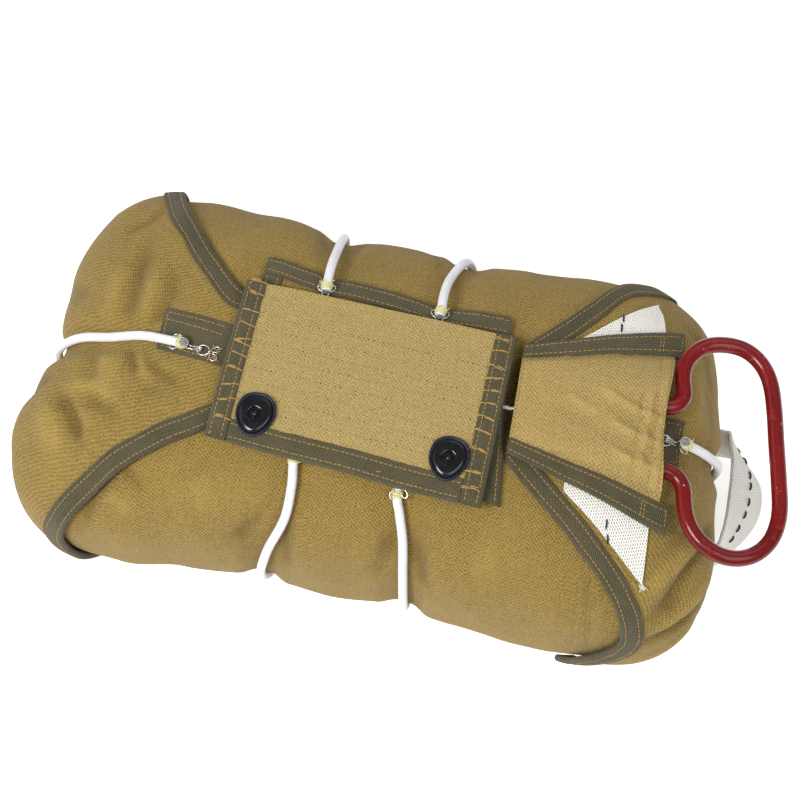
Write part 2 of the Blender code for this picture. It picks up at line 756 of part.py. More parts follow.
def spin(bm, profile, steps, ring=True):
    """Solid of revolution about Z from a profile of radius and height, a ring's own or a solid's side."""
    verts = [bm.verts.new((radius, 0, height)) for radius, height in profile]
    edges = [bm.edges.new((a, b)) for a, b in zip(verts, verts[1:] + verts[:1] if ring else verts[1:])]
    bmesh.ops.spin(bm, geom=verts + edges, cent=(0, 0, 0), axis=(0, 0, 1), angle=2 * math.pi, steps=steps,
                   use_merge=True, use_duplicate=False)
    bmesh.ops.remove_doubles(bm, verts=bm.verts, dist=0.01)
    bmesh.ops.holes_fill(bm, edges=[edge for edge in bm.edges if edge.is_boundary], sides=0)
    bmesh.ops.recalc_face_normals(bm, faces=bm.faces)


def solid(name, bm, material_name, parent):
    bmesh.ops.scale(bm, vec=(MM, MM, MM), verts=bm.verts)
    mesh = bpy.data.meshes.new(name)
    bm.to_mesh(mesh)
    bm.free()
    mesh.shade_smooth()
    mesh.set_sharp_from_angle(angle=math.radians(40))
    return link(bpy.data.objects.new(name, mesh), material_name, parent)


def wire_path(neck, nose_at, nose_radius):
    """Flat wire with an ear at each end and a rounded nose: along, side."""
    ear = [(EAR_RADIUS * math.cos(a), neck + EAR_RADIUS + EAR_RADIUS * math.sin(a))
           for a in np.radians(range(0, 271, 54))]
    lean = math.asin(min(1, neck / nose_radius))
    nose = [(nose_at + nose_radius * math.cos(a), nose_radius * math.sin(a))
            for a in np.linspace(math.pi - lean, 0, 5)[:-1]]
    one_side = ear + nose
    return one_side + [(nose_at + nose_radius, 0)] + [(a, -b) for a, b in reversed(one_side)]


def wire(name, origin, out, path, layers, parent, rise=0.0):
    """Wire lying on the layers of cloth over the body. Its nose is raised."""
    up = bare_skin(origin)[1]
    out = (out - up * out.dot(up)).normalized()
    side = up.cross(out)
    reach = max(a for a, _ in path)
    points = [on_skin(origin + out * a + side * b, layers + 0.4 + WIRE_RADIUS + rise * max(0, a / reach))
              for a, b in path]
    tube(name, points, WIRE_RADIUS, 1, "bright wire", parent)


def fastener(name, x, y, sheet, holes, parent):
    patch = Patch(CENTRE_FLAP)
    hit, normal = bare_skin(above(x, y))
    share = (x - CENTRE_FLAP[0][0]) / patch.length
    seat = HIGH_LEG + TAPE / 2 + 0.35 + flap_lift(share)
    turn = normal.to_track_quat("Z", "Y").to_matrix().to_4x4()

    def placed(bm, lift):
        bmesh.ops.transform(bm, verts=bm.verts, matrix=Matrix.Translation(hit + normal * lift) @ turn)

    bm = bmesh.new()
    flange = [(2.9, 0), (10, 0), (10, 0.8), (8.3, 1.0), (7.6, 2.2), (4.4, 2.9), (2.9, 2.5)]
    spin(bm, flange, 18)
    for vert in bm.verts:
        reach = math.hypot(vert.co.x, vert.co.y)
        if reach > 5:
            angle = math.atan2(vert.co.y, vert.co.x)
            taper = 1 - 0.10 * max(0, -math.sin(angle)) ** 2
            vert.co.x *= SOCKET_WIDE / 10 * taper
            vert.co.y *= SOCKET_TALL / 10
    placed(bm, seat)
    solid(f"{name}_snap_socket", bm, "black enamel", parent)

    bm = bmesh.new()
    foot = SHEET + CLOTH / 2 + 0.5
    top = seat + 2.2
    stud = [(4.2, foot), (4.2, foot + 0.9), (1.5, foot + 0.9), (1.5, top - 1.6), (2.2, top - 0.9),
            (1.7, top - 0.2), (0.8, top)]
    spin(bm, stud, 10, ring=False)
    placed(bm, 0)
    solid(f"{name}_snap_stud", bm, "black enamel", parent)

    bm = bmesh.new()
    bmesh.ops.create_cone(bm, cap_ends=True, segments=10, radius1=2.3, radius2=2.3, depth=12)
    placed(bm, seat - 2)
    bmesh.ops.scale(bm, vec=(MM, MM, MM), verts=bm.verts)
    mesh = bpy.data.meshes.new(f"{name} stud hole")
    bm.to_mesh(mesh)
    bm.free()
    cutter = bpy.data.objects.new(mesh.name, mesh)
    cutter.hide_render = True
    cutter.display_type = "WIRE"
    holes.objects.link(cutter)
    cut = sheet.modifiers.new(cutter.name, "BOOLEAN")
    cut.operation = "DIFFERENCE"
    cut.object = cutter


def cords(parent):
    """Elastic cords, with the thread and the wire hook at each end."""
    tabbed, panelled = SHEET + 1.5 * CLOTH + 0.35, SHEET + CLOTH / 2
    # Columns: name, route, points, names of its ends, height of the layers under each end's hook
    table = (
        ("left_cross", CORD_LEFT_CROSS, 38, ("top", "bottom"), (panelled, panelled)),
        ("right_cross", CORD_RIGHT_CROSS, 38, ("top", "bottom"), (panelled, panelled)),
        ("lengthwise", CORD_LENGTHWISE, 56, ("left", "right"), (tabbed, tabbed)),
    )
    routes = []
    for _, rows, count, _, _ in table:
        centres, layers = cord_centres(rows, count)
        routes.append(centres)
        dense = [a.lerp(b, t) for a, b in zip(centres, centres[1:]) for t in (0, 0.5)]
        valleys.add(dense, np.interp(np.arange(len(dense)) / 2, range(count), layers))
    for (name, _, _, ends, heights), route in zip(table, routes):
        tube(f"{name}_cord", route, CORD_RADIUS, 2, "white elastic", parent)
        for end, height, line in zip(ends, heights, (route, route[::-1])):
            whipping(f"{name}_{end}_whipping", line, parent)
            out = (line[0] - line[1]).normalized()
            wire(f"{name}_{end}_hook", line[0] + out * 2.9, out, wire_path(1.0, 6.0, 1.15), height, parent,
                 rise=2.0)
    eyes(routes[2], tabbed, parent)


def eyes(route, height, parent):
    """Wire eyes that the lengthwise cord's hooks close on, sewn to the tabs."""
    for side, line in (("left", route), ("right", route[::-1])):
        out = (line[0] - line[1]).normalized()
        wire(f"{side}_eye", line[0] + out * 14.5, -out, wire_path(1.0, 3.9, 2.3), height, parent)


def main():
    clear_scene()
    pack = bpy.data.collections.new("Packed parachute")
    holes = bpy.data.collections.new("Cutters")
    for made in (pack, holes):
        bpy.context.scene.collection.children.link(made)
    root = bpy.data.objects.new("pack frame", None)
    pull = bpy.data.objects.new("ripcord frame", None)
    pull.location = Vector((HANDLE_X, 0, HANDLE_Z)) * MM
    for empty in (root, pull):
        pack.objects.link(empty)
    pull.parent = root
    bpy.context.view_layer.update()

    cords(root)
    packed_body(root)
    end_flap("left", (LEFT_UPPER, LEFT_MIDDLE, LEFT_LOWER), root)
    end_flap("right", (RIGHT_UPPER, RIGHT_MIDDLE, RIGHT_LOWER), root)
    tab("left_tab", LEFT_TAB, SHEET + CLOTH + 0.35, root)
    tab("right_tab", RIGHT_TAB, SHEET + CLOTH + 0.35, root)
    reinforcement(root)
    inner_panel(root)
    sheet = centre_flap(root)
    for name, x, y in FASTENERS:
        fastener(name, x, y, sheet, holes, root)
    pocket(root)
    carrying_loop(root)
    ripcord(pull)


main()
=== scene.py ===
"""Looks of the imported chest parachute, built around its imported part.

Every cloth piece is laid on the same filled shape as the part's solids, in finer steps, with its folds,
weave and stitching. Shape tables are in millimetres.
"""
import math

import bmesh
import bpy
import numpy as np
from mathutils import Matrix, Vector, noise

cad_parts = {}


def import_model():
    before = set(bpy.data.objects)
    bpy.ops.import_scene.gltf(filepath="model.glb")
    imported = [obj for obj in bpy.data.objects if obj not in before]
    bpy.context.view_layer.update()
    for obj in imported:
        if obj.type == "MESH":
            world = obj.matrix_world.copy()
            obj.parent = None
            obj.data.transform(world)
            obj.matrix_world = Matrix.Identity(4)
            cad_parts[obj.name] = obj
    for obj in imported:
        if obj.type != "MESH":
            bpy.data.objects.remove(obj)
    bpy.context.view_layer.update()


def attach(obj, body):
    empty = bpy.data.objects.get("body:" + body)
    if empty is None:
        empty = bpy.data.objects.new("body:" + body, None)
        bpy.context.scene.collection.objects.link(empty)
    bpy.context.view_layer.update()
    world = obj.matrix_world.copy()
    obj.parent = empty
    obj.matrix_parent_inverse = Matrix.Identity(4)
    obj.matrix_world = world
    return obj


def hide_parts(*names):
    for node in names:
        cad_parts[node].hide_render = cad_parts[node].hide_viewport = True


MM = 0.001

# Further than any distance looked for, and how many points are worked out at once
FAR, CHUNK = 99.0, 8000
# Filled body: height of its widest line, and how its cross-sections round off
MID, UNDER = 54.0, 66.0
END_POWER_LEFT, END_POWER_RIGHT = 6.0, 9.0
SIDE_POWER, CROWN_POWER = 3.0, 2.5
SPINE = 110.0
# How far the filling lies inside the end flaps
BODY_TUCK = 1.0
# Columns: x along the pack, half width to the upper side, half width to the lower side, crown height
STATIONS = (
    (-200, 112, 112, 104), (-160, 109, 112, 111), (-125, 105, 108, 118), (-90, 101, 100, 122.5),
    (-46, 96, 95, 124), (-10, 99, 98, 124.5), (24, 96, 94, 124.5), (60, 101, 98, 124.5),
    (110, 106, 101, 122), (150, 106, 99, 116), (200, 102, 95, 106),
)
# Columns: y across the pack, reach of the left end, reach of the right end
ENDS = (
    (-110, 203, 201), (-60, 199, 193), (0, 184, 183), (55, 188, 176), (110, 188, 172),
)
# Soft lumps of the filling. Columns: height, wavelength along x, wavelength across, phase
LUMPS = ((0.9, 83, 71, 0.4), (0.6, 47, 59, 2.1))

# Layers over the body: middle height of each above it, and thickness
CLOTH, TAPE = 1.1, 0.8
WIDTH = 11.0
LOW_LEG, SHEET, HIGH_LEG = 1.1, 2.45, 4.1
TUCK = 1.6
CORD_RADIUS, CORD_CLEAR = 2.5, 0.7
# Valley that a cord lies in: half width, half width of its floor, and how deep under the cord it reaches
VALLEY, VALLEY_FLOOR, VALLEY_DEPTH = 15.0, 3.5, 22

# Cord centre lines. Columns: x, y, z near the body, height of the centre above it, height of the layers
# of cloth between them
CORD_LEFT_CROSS = (
    (-41.8, 38.9, 121, 8.2, 4.2), (-42.5, 46, 120, 8.4, 5.2), (-43, 54, 118, 7.6, 5.6),
    (-43.5, 62, 114, 4.4, 1.8), (-44, 70, 110, 1, 0), (-44.5, 84, 96, 0.3, 0), (-46, 96, 60, 0.2, 0),
    (-46, 90, 26, -0.6, 0), (-45, 79, 8, -2.2, 0), (-44.5, 60, 0, -3.6, 0), (-44, 30, 0, -3.6, 0),
    (-43.5, 0, 0, -3.6, 0), (-43, -30, 0, -3.6, 0), (-43, -58, 0, -3.6, 0), (-44, -78, 8, -2.2, 0),
    (-46, -90, 26, -0.6, 0), (-46.5, -95, 50, 0.2, 0), (-42, -90, 82, 0.3, 0), (-35, -79, 104, 0.6, 0),
    (-34.5, -64, 114, 2, 0.8), (-36, -54, 118, 2.2, 0.8), (-36.5, -47.5, 119, 2.2, 0.8),
)
CORD_RIGHT_CROSS = (
    (20.5, 38.9, 122, 9, 4.6), (20, 45.5, 121, 9, 5.6), (19.3, 54, 119, 7.6, 5.6),
    (19.3, 62, 115, 4.4, 1.8), (20, 70, 111, 1, 0), (23.5, 84, 97, 0.3, 0), (28, 96, 60, 0.2, 0),
    (29, 90, 26, -0.6, 0), (29, 79, 8, -2.2, 0), (29, 60, 0, -3.6, 0), (29.5, 30, 0, -3.6, 0),
    (30, 0, 0, -3.6, 0), (30.5, -30, 0, -3.6, 0), (31, -58, 0, -3.6, 0), (31.5, -78, 8, -2.2, 0),
    (32.5, -90, 26, -0.6, 0), (33, -94, 50, 0.2, 0), (32, -90, 80, 0.3, 0), (29, -79, 104, 0.6, 0),
    (24.5, -67, 114, 2, 0.8), (21.5, -60, 117, 2.3, 0.8), (20.3, -54.3, 119, 2.4, 0.8),
)
CORD_LENGTHWISE = (
    (-105, -5, 119.5, 8.4, 5.8), (-114.5, -3.8, 118, 8, 5.6), (-130, -2.4, 113.5, 5.4, 3.9),
    (-148, -3, 105, 2.6, 3.1), (-164, -3, 94, 1.8, 3.1), (-176, -4, 78, 1.2, 3.1), (-182, -4, 56, 1, 3.1),
    (-178, -4, 30, 1, 3.1), (-166, -3, 12, 0, 2.4), (-156, -2, 2, -4.2, 1.2), (-146, -1, 0, -4.3, 0.4),
    (-110, 6, 0, -3.6, 0), (-80, 14, 0, -4.4, 0), (-58, 19, 0, -9.6, 0), (-43.5, 21, 0, -10.3, 0),
    (-28, 22, 0, -9.6, 0), (-7, 22.5, 0, -7.5, 0), (14, 22, 0, -9.6, 0), (30, 21.5, 0, -10.3, 0),
    (46, 21, 0, -9.6, 0), (68, 20, 0, -4.4, 0), (100, 19, 0, -3.6, 0), (145, 18, 0, -4.3, 0.4),
    (155, 18.5, 2, -4.2, 1.2), (165, 19, 12, -0.4, 2.4), (177, 19, 30, 1, 3.1), (181.5, 16, 56, 1.4, 3.1),
    (179, 12, 77, 2.2, 3.1), (173.5, 8.8, 92, 4.2, 3.3), (165, 7, 103, 6.8, 4.4),
    (155.5, 6.3, 109.5, 8.4, 5.6),
)
# Columns: name, centre line, points along it, names of its ends
CORDS = (
    ("left_cross", CORD_LEFT_CROSS, 38, ("top", "bottom")),
    ("right_cross", CORD_RIGHT_CROSS, 38, ("top", "bottom")),
    ("lengthwise", CORD_LENGTHWISE, 56, ("left", "right")),
)
# Upturned end of a cord: bend's radius, its angle in degrees, and the length it takes up
BEND_RADIUS, BEND_ANGLE, BEND_TRIM = 4.4, 62, 3.4
# Turns of thread round a cord's end. Columns: from, to, turns, phase
WHIP_TURNS = ((1.2, 4.8, 5.5, 0.0), (5.2, 1.4, 3.0, 1.1), (1.6, 4.4, 2.0, 2.9), (4.2, 2.0, 2.0, 4.1))

# End flaps, as three lines from the top of the pack over its end to the base. Columns: x, y, z
LEFT_UPPER = (
    (-79.5, 31.5, 121.5), (-90, 36, 120.5), (-106, 52, 116), (-119, 66, 109), (-129, 79, 101),
    (-137, 94, 83), (-139, 103, 60), (-137, 101, 40), (-134, 97, 24),
)
LEFT_MIDDLE = (
    (-79.5, -3, 124), (-96, -3, 122), (-120, -3, 117), (-143, -3, 109), (-165, -3, 94), (-180, -3, 66),
    (-179, -3, 38), (-170, -3, 14),
)
LEFT_LOWER = (
    (-79.5, -41, 120), (-92, -50, 118.5), (-106, -58.5, 115), (-122, -71, 109), (-136, -85, 98),
    (-148, -97, 81), (-153, -103, 60), (-148, -103, 38), (-139, -94, 14),
)
RIGHT_UPPER = (
    (68.5, 37, 122), (83, 54, 119), (96, 71, 113), (108, 87, 102), (120, 97, 90), (130, 103, 72),
    (131, 104, 52), (129, 101, 35), (127, 95, 20),
)
RIGHT_MIDDLE = (
    (71, 10, 124), (100, 10, 122), (130, 7, 118), (156, 6.5, 109), (175, 9.5, 88), (181, 17, 50),
    (171, 19, 16),
)
RIGHT_LOWER = (
    (72, -28, 123), (94, -44.5, 120), (111, -57, 117), (128, -69.5, 109), (141, -79.5, 99), (149, -88, 87),
    (150, -94, 73), (141, -98, 57), (129, -98, 42), (119, -95, 24),
)
FLAP_ROWS = 118

# Four-sided pieces on top of the pack, as their corners. Columns: x, y
INNER_PANEL = ((-77.5, 56.5), (57.5, 50.5), (74, -52), (-77.5, -38))
CENTRE_FLAP = ((-84, 36.5), (63, 36), (65, -55), (-84, -50))
POCKET = ((67.5, 34.5), (145.5, 66.5), (158.5, -44.5), (71.5, -25))
LEFT_TAB = ((-124, 16.5), (-84.9, 12), (-84.9, -12), (-123, -7.5))
RIGHT_TAB = ((147, 18), (157, 19.8), (158.7, -6.5), (150.2, -8.5))
# Seams of a tab, and the seam that only one of them has. Columns: shares along it, shares across it
TAB_SEAMS = ((0.04, 0.9, 0.1, 0.1), (0.04, 0.9, 0.9, 0.9), (0.06, 0.06, 0.1, 0.9))
TAB_ENDS = {"left": (0.04, 0.9, 0.27, 0.3), "right": (0.85, 0.85, 0.1, 0.9)}
# Edges of the webbing, in plan
BAND_LEFT = ((96.5, 48.5), (98, 20), (101, -10), (105, -36.5))
BAND_RIGHT = ((131, 84), (138, 63), (152, -46), (154.5, -70))

# Height of the centre flap's lowest leg above the body, at its left and right edges
FLAP_LEFT_LIFT, FLAP_RIGHT_LIFT = 7.2, 8.6
# Where threads cross at the flap's corners. Columns: shares along it and across it
FLAP_KNOTS = ((0.03, 0.965), (0.06, 0.955), (0.12, 0.962), (0.62, 0.955), (0.965, 0.965), (0.01, 0.02),
              (0.05, 0.03))
# Quilting of the flap: distance between its rows, and between the stitches in a row
QUILT_ROWS, QUILT_STITCH = 7.4, 2.7
POCKET_EDGE_LIFT, POCKET_MOUTH = 6.0, 0.955
# Short rows of stitches across the pocket's tapes, as shares of its length
POCKET_TACKS = (0.845, 0.865, 0.985)
# Shares of the pocket's width over which its cloth rises from each tape
POCKET_UPPER_SLOPE, POCKET_LOWER_SLOPE = 0.3, 0.19
# Level of the pocket's raised middle. Columns: x along the pack, height
POCKET_TOP = ((70, 132.4), (115, 133.0), (134, 133.0), (165, 130.0))

# Ripcord handle. Columns: x, y of the rod's centre line
ROD_RADIUS = 4.35
HANDLE_PITCH = math.radians(6.0)
HANDLE_X, HANDLE_Z = 134.0, 127.4
HANDLE = (
    (134, 10), (134, 14), (136.5, 18.5), (142, 20.3), (149, 20.8), (153.6, 23.5), (155.8, 29.5), (153, 39),
    (153.6, 49.5), (160, 58.5), (170, 63), (182, 63.3), (192, 58), (199, 48.5), (204, 34), (208.5, 16.5),
    (213.5, -2.5), (217.5, -20.5), (216.5, -34.5), (211, -44.5), (202.5, -50.2), (192, -51.5), (181, -47.5),
    (172.5, -39.5), (168, -29.5), (165.6, -21), (160.5, -15.2), (152, -13.8), (142, -14), (136.5, -12),
    (134, -7.5), (134, -2),
)
# Columns: x, y, z of the cable's centre line
CABLE_RADIUS = 1.2
CABLE = ((61.5, -1, 130.6), (75, -1, 130.4), (95, -1, 129.7), (115, -0.5, 128.7), (129.2, 0, 127.7))
# Carrying loop on the right end. Columns: x, y of the band's middle, how far its foot stands out
LOOP = (
    (183, 44, 0), (188, 41, 5), (194.5, 35, 14), (199.5, 26, 19), (202, 14, 20), (202, 4, 18),
    (199.8, -6, 13), (196.8, -15, 7), (193.3, -24, 2), (190, -31, 0),
)
LOOP_WIDE, LOOP_THICK, LOOP_MIDDLE = 40.0, 2.2, 36.0
# Snap fasteners. Columns: name, x, y
FASTENERS = (("left", -60.4, -35.3), ("right", 43.5, -35.8))

# Folds of the canvas, whose heights also paint light on their ridges and shade in their hollows. Columns:
# height above the cloth around (below if negative), width, points along it
FOLDS = (
    # Round the centre flap
    (-2, 6, (78, -1, 123), (100, -0.5, 122), (125, 0, 119), (144, 1, 114)),
    # Deep groove by the centre flap's right edge: its depth also paints shade into the canvas there
    (-8, 2.9, (66.2, 33, 122), (67, 16, 123), (68, -2, 124), (69.6, -21, 123)),
    # Left end
    (-2.6, 6.5, (-144.3, 56.4, 104.5), (-144.6, 37.5, 107.2), (-144.4, 18.6, 107.9), (-142, 2, 109.2)),
    (-1.9, 5, (-128.2, 45, 113), (-124.4, 25.2, 115.3), (-129.2, 5.9, 114.6)),
    (1.5, 5, (-135.4, 37.9, 111.5), (-133.9, 22.7, 112.9), (-135.5, 7.6, 112.3)),
    (1.4, 6, (-153.5, 43.7, 102), (-154.6, 25, 102.5), (-152.9, 7.1, 103.3)),
    (-1.2, 2.6, (-132.8, 4.3, 113.4), (-127.8, 10.8, 114.9), (-122.4, 15.9, 115.8)),
    (-3, 3.4, (-139.8, -5.7, 110.3), (-134.8, -14.9, 112.8), (-129.5, -23.7, 114.7)),
    (1.7, 3.4, (-133.8, -8.3, 113.1), (-128.1, -16.5, 115), (-122.9, -27.2, 115.7)),
    (-2, 3.8, (-130, -9.6, 114.4), (-119.7, -18.5, 116.4), (-103.3, -25.3, 119.9)),
    (1.1, 3.6, (-121.6, -11.8, 116), (-112.5, -16.2, 117.9), (-101.9, -18.1, 120.4)),
    (1.8, 5.5, (-150.2, -8.4, 104.9), (-146.6, -20.3, 107.4), (-139.2, -34, 111.1)),
    (-1.6, 5, (-157.6, -11.1, 101.2), (-155.1, -23.1, 103.3), (-150.1, -32.4, 106)),
    (-4.2, 4.4, (-172, -35.9, 95.3), (-163.7, -45.3, 100.4), (-156.8, -53.6, 102), (-149.4, -63.7, 102.7)),
    (2.4, 5, (-164.2, -35.9, 100.2), (-156.1, -31.6, 103.3), (-145, -33.8, 108.4), (-135.8, -41.7, 112)),
    (1.5, 4, (-157, -44.6, 102.9), (-150.9, -49.7, 104.8), (-143.5, -55.7, 107.1)),
    (-1.9, 4.2, (-156.4, -38.7, 103.3), (-147.6, -40.9, 107), (-138.4, -44.8, 110.7), (-131, -51.1, 112.4)),
    (-1.2, 4, (-127.5, -35, 114.8), (-121, -30.3, 115.9), (-112.1, -30, 117.7)),
    (1.6, 7, (-179.1, -42.7, 89.8), (-169.9, -56.8, 95.7), (-161.4, -71.1, 95.9)),
    (-3, 6, (-128.2, -70.8, 107.7), (-136.3, -79.8, 101.5), (-141.9, -90.7, 92.3), (-143.8, -101.3, 77.6)),
    (-1.8, 3.6, (-109.7, -84, 102.2), (-119, -77.1, 105.9), (-127.2, -70.6, 107.9)),
    (1.4, 5, (-113.7, -91.8, 95.3), (-125.4, -88.6, 97.9), (-133, -84.1, 99.8)),
    (-1.6, 3.2, (-162.7, 58.2, 94.5), (-155.4, 65.3, 96.2), (-146.6, 71.4, 98.3), (-141.1, 83.4, 93.8)),
    (1.2, 5, (-173.5, 70.6, 77.3), (-163, 77.1, 85.1), (-153.1, 83.4, 87.4)),
    (-2, 7, (-178, 30, 60), (-176, 26, 80), (-168, 20, 96)),
    (-2, 7, (-181, -30, 50), (-180, -28, 74), (-172, -24, 92)),
    # Right end
    (2.4, 4.4, (156.6, -77, 96.1), (163.3, -64.2, 99.7), (172.1, -49, 97.8), (180.3, -31.4, 87.8)),
    (-3.4, 4, (160.4, -84.1, 87.1), (170.2, -70.5, 90.7), (175.4, -54.7, 93.2), (180.9, -39.9, 88),
     (186, -22, 76)),
    (2.2, 4.4, (161, -90.3, 75.7), (173.3, -78.4, 79.9), (182.1, -62.4, 78.8), (187.3, -42.2, 72.8)),
    (-3, 3.8, (152.6, -94.7, 70), (168.1, -86.9, 73.7), (180.1, -74.7, 68.9), (188, -55, 60),
     (191, -38, 50)),
    (1.6, 4.4, (161.6, -92.9, 47), (176.6, -82.4, 52.7), (187, -62, 50)),
    (-1.8, 4.4, (166.6, -45.2, 103), (174.1, -36.9, 96.9), (183.8, -20, 73.1)),
    (-1.8, 3.4, (170.5, -77.2, 85.1), (173.4, -71.3, 86.5), (174.1, -65.3, 89.6)),
    (-1.5, 4.2, (142, 78, 92), (154, 66, 92), (166, 52, 88), (172, 40, 82)),
    (-1.2, 6, (162.7, 51.4, 95.5), (170.5, 31.4, 90.9), (176.3, 4.5, 88.1)),
    (1, 6, (155.4, 51.6, 102.9), (160.7, 36.7, 102.1), (162.6, 21.4, 103.4)),
    # Waists and front
    (-1.7, 4, (-62, 88, 88), (-56, 82, 98), (-50, 74, 107)),
    (-1.6, 4, (-30, 90, 84), (-34, 82, 98), (-38, 72, 108)),
    (-1.5, 4, (38, 88, 88), (32, 82, 98), (27, 74, 107)),
    (-1.5, 4, (4, 90, 84), (10, 82, 98), (15, 74, 107)),
    (-2, 4.5, (-62, -86, 78), (-54, -80, 92), (-44, -72, 104)),
    (-1.9, 4.5, (-30, -92, 68), (-33, -84, 88), (-36, -72, 104)),
    (-1.9, 4.5, (46, -90, 76), (39, -82, 94), (32, -72, 106)),
    (-1.6, 4.5, (14, -90, 76), (20, -82, 94), (24, -72, 106)), (1.2, 14, (-86, -78, 105), (-74, -72, 110)),
    (1.2, 16, (64, -84, 102), (84, -76, 106)),
)
WIDE_RIPPLE, FINE_RIPPLE = 0.8, 0.22
# Closed outline of a binding folded round an edge. Columns: distance in from the edge, height
TAPE_OUTLINE = (
    (11, 0.7), (5, 0.7), (1, 0.7), (0.1, 1.3), (-0.4, 2.6), (0.1, 3.9), (1.1, 4.45), (2.3, 4.22),
    (3.6, 4.52), (5.5, 4.62), (7.3, 4.52), (8.6, 4.22), (9.8, 4.48), (10.7, 4.45), (11, 4.2), (11, 3.65),
    (5.5, 3.7), (1.2, 3.65), (0.45, 3.2), (0.35, 2.6), (0.45, 2), (1.2, 1.5), (5, 1.5), (11, 1.5),
)
SEAM_INSETS, SEAM_LIFT = (2.3, 8.6), 4.32
# One stitch. Columns: share along it, height, share of its thickness
STITCH = ((0, -0.35, 0.55), (0.16, 0.4, 0.95), (0.5, 1, 1), (0.84, 0.4, 0.95), (1, -0.35, 0.55))
# Folds of the pocket. Columns: height, width, points in plan
POCKET_FOLDS = (
    (1.9, 2.2, (110, 22), (124, 15), (138, 11), (150, 9.5)),
    (-1.9, 1.9, (114, 13), (128, 7.5), (140, 5), (151, 4)),
    (1.8, 2, (116, 5), (130, 0), (142, -2.5), (151, -3.5)),
    (-1.8, 1.8, (110, -2), (126, -7), (140, -9.5), (151, -10.5)),
    (1.5, 2, (120, -11), (134, -15), (146, -17), (152, -18)),
    (-1.2, 1.8, (124, -20), (136, -23), (148, -25)),
    (1.3, 1.8, (136.5, 30), (137.5, 12), (138.5, -6), (139.5, -26)),
    (-1.3, 1.5, (132.5, 26), (133.5, 10), (134.5, -8), (135.5, -26)),
    (-1.1, 1.6, (142.5, 24), (143, 8), (144, -10), (145, -26)), (1.1, 2.6, (94, 14), (106, 9), (116, 7)),
    (-1, 2.6, (90, 5), (104, 1), (116, -1)),
)
HEM_START = 0.86
# Stitched lines across the pocket. Columns: share along it, extra thickness there
HEM_LINES = ((0.015, 0), (0.87, 0.35), (0.938, 0.35))
# Stitched bars across the centre flap's tapes, as shares of the tape's length
BAR_PLACES = {
    "left": (0.02, 0.10, 0.20, 0.30, 0.38, 0.42, 0.50, 0.59, 0.68, 0.77, 0.89),
    "right": (0.04, 0.12, 0.21, 0.29, 0.36, 0.43, 0.52, 0.60, 0.70, 0.84, 0.93),
}
# Faint seams across the left end flap, and beside the webbing
SEAMS = (
    ((-141.8, 63.4, 103.7), (-121.5, 47.6, 113.6), (-105.7, 31.1, 118.9)),
    ((-151.3, -59.1, 103.1), (-134.9, -45, 112), (-120.5, -31.9, 115.9), (-97, -21.9, 121.2)),
)
# Black seams of the webbing, in plan
BLACK_SEAMS = (
    ((113.6, 69.6), (115.3, 61.2), (116.8, 53)),
    ((128.4, -44), (130.8, -51.2), (133.2, -59)),
)
# Columns: cord's end, how far the hook's ears lie back, where the hook starts, where the eye starts
EAR_REACH = {
    "left_cross_top": (7.0, 2.9, 0.0),
    "left_cross_bottom": (0.5, 2.9, 0.0),
    "right_cross_top": (7.0, 2.9, 0.0),
    "right_cross_bottom": (4.0, 2.9, 0.0),
    "lengthwise_left": (5.0, 2.9, 16.3),
    "lengthwise_right": (0.6, -1.6, 9.9),
}
EAR_RISE = 2.4
# How far the upper edge of the inner panel sags. Columns: share along it, sag
PANEL_SAG = (
    (0, 0), (0.06, 0.2), (0.17, 2.4), (0.27, 4.2), (0.36, 3.2), (0.5, 3.4), (0.6, 3.8), (0.7, 4.4),
    (0.78, 2.9), (0.9, 1.2), (0.97, 0.3), (1, 0.6),
)
# Wire of a hook, up to its nose, and of an eye. Columns: along, beside, height
WIRE_RADIUS = 0.45
HOOK_HALF = (
    (-2, 1.6, 0.2), (-3.6, 1.8, 0.2), (-5.2, 3.2, 0.4), (-5, 5, 0.5), (-3, 5.4, 0.4), (-1.2, 4, 0.2),
    (-0.6, 2, 0.1), (0.6, 0.9, 0.1), (3.6, 0.8, 0.3), (6.2, 0.85, 0.8), (7.2, 0.6, 1.6), (6.4, 0.55, 2.5),
    (3.6, 0.5, 2.4),
)
HOOK = (*HOOK_HALF, (3.2, 0.0, 2.35), *[(x, -y, z) for x, y, z in HOOK_HALF[::-1]])
EYE = (
    (1.4, 0.7, 0), (-0.6, 0.8, 0.1), (-2.3, 1.9, 0.1), (-2.6, 3.4, 0), (-1.3, 4.6, 0), (0.5, 4.1, 0),
    (1.3, 2.3, 0.1), (1.9, 0.2, 0.3), (3, -2.1, 0.2), (5.2, -3.3, 0.3), (7.5, -2.3, 0.6), (8.5, 0, 0.8),
    (7.5, 2.3, 0.6), (5.2, 3.3, 0.3), (3, 2.1, 0.2), (1.9, -0.2, 0.9), (1.3, -2.3, 0.1), (0.5, -4.1, 0),
    (-1.3, -4.6, 0), (-2.6, -3.4, 0), (-2.3, -1.9, 0.1), (-0.6, -0.8, 0.1), (1.4, -0.7, 0),
)
# Turns of thread over an eye, as shares of its wire
EYE_TURNS = (0.06, 0.12, 0.2, 0.27, 0.73, 0.8, 0.88, 0.94)
BALL_RADIUS = 2.2
# Outline of a snap fastener. Columns: angle in degrees, radius
SNAP_OUTLINE = (
    (0, 10.5), (30, 11.3), (50, 12.2), (70, 12), (90, 11.8), (115, 12), (138, 11.8), (160, 10.6),
    (180, 10.2), (215, 10), (240, 10.9), (262, 12), (275, 12), (300, 10.8), (325, 9.9), (345, 10),
    (360, 10.5),
)
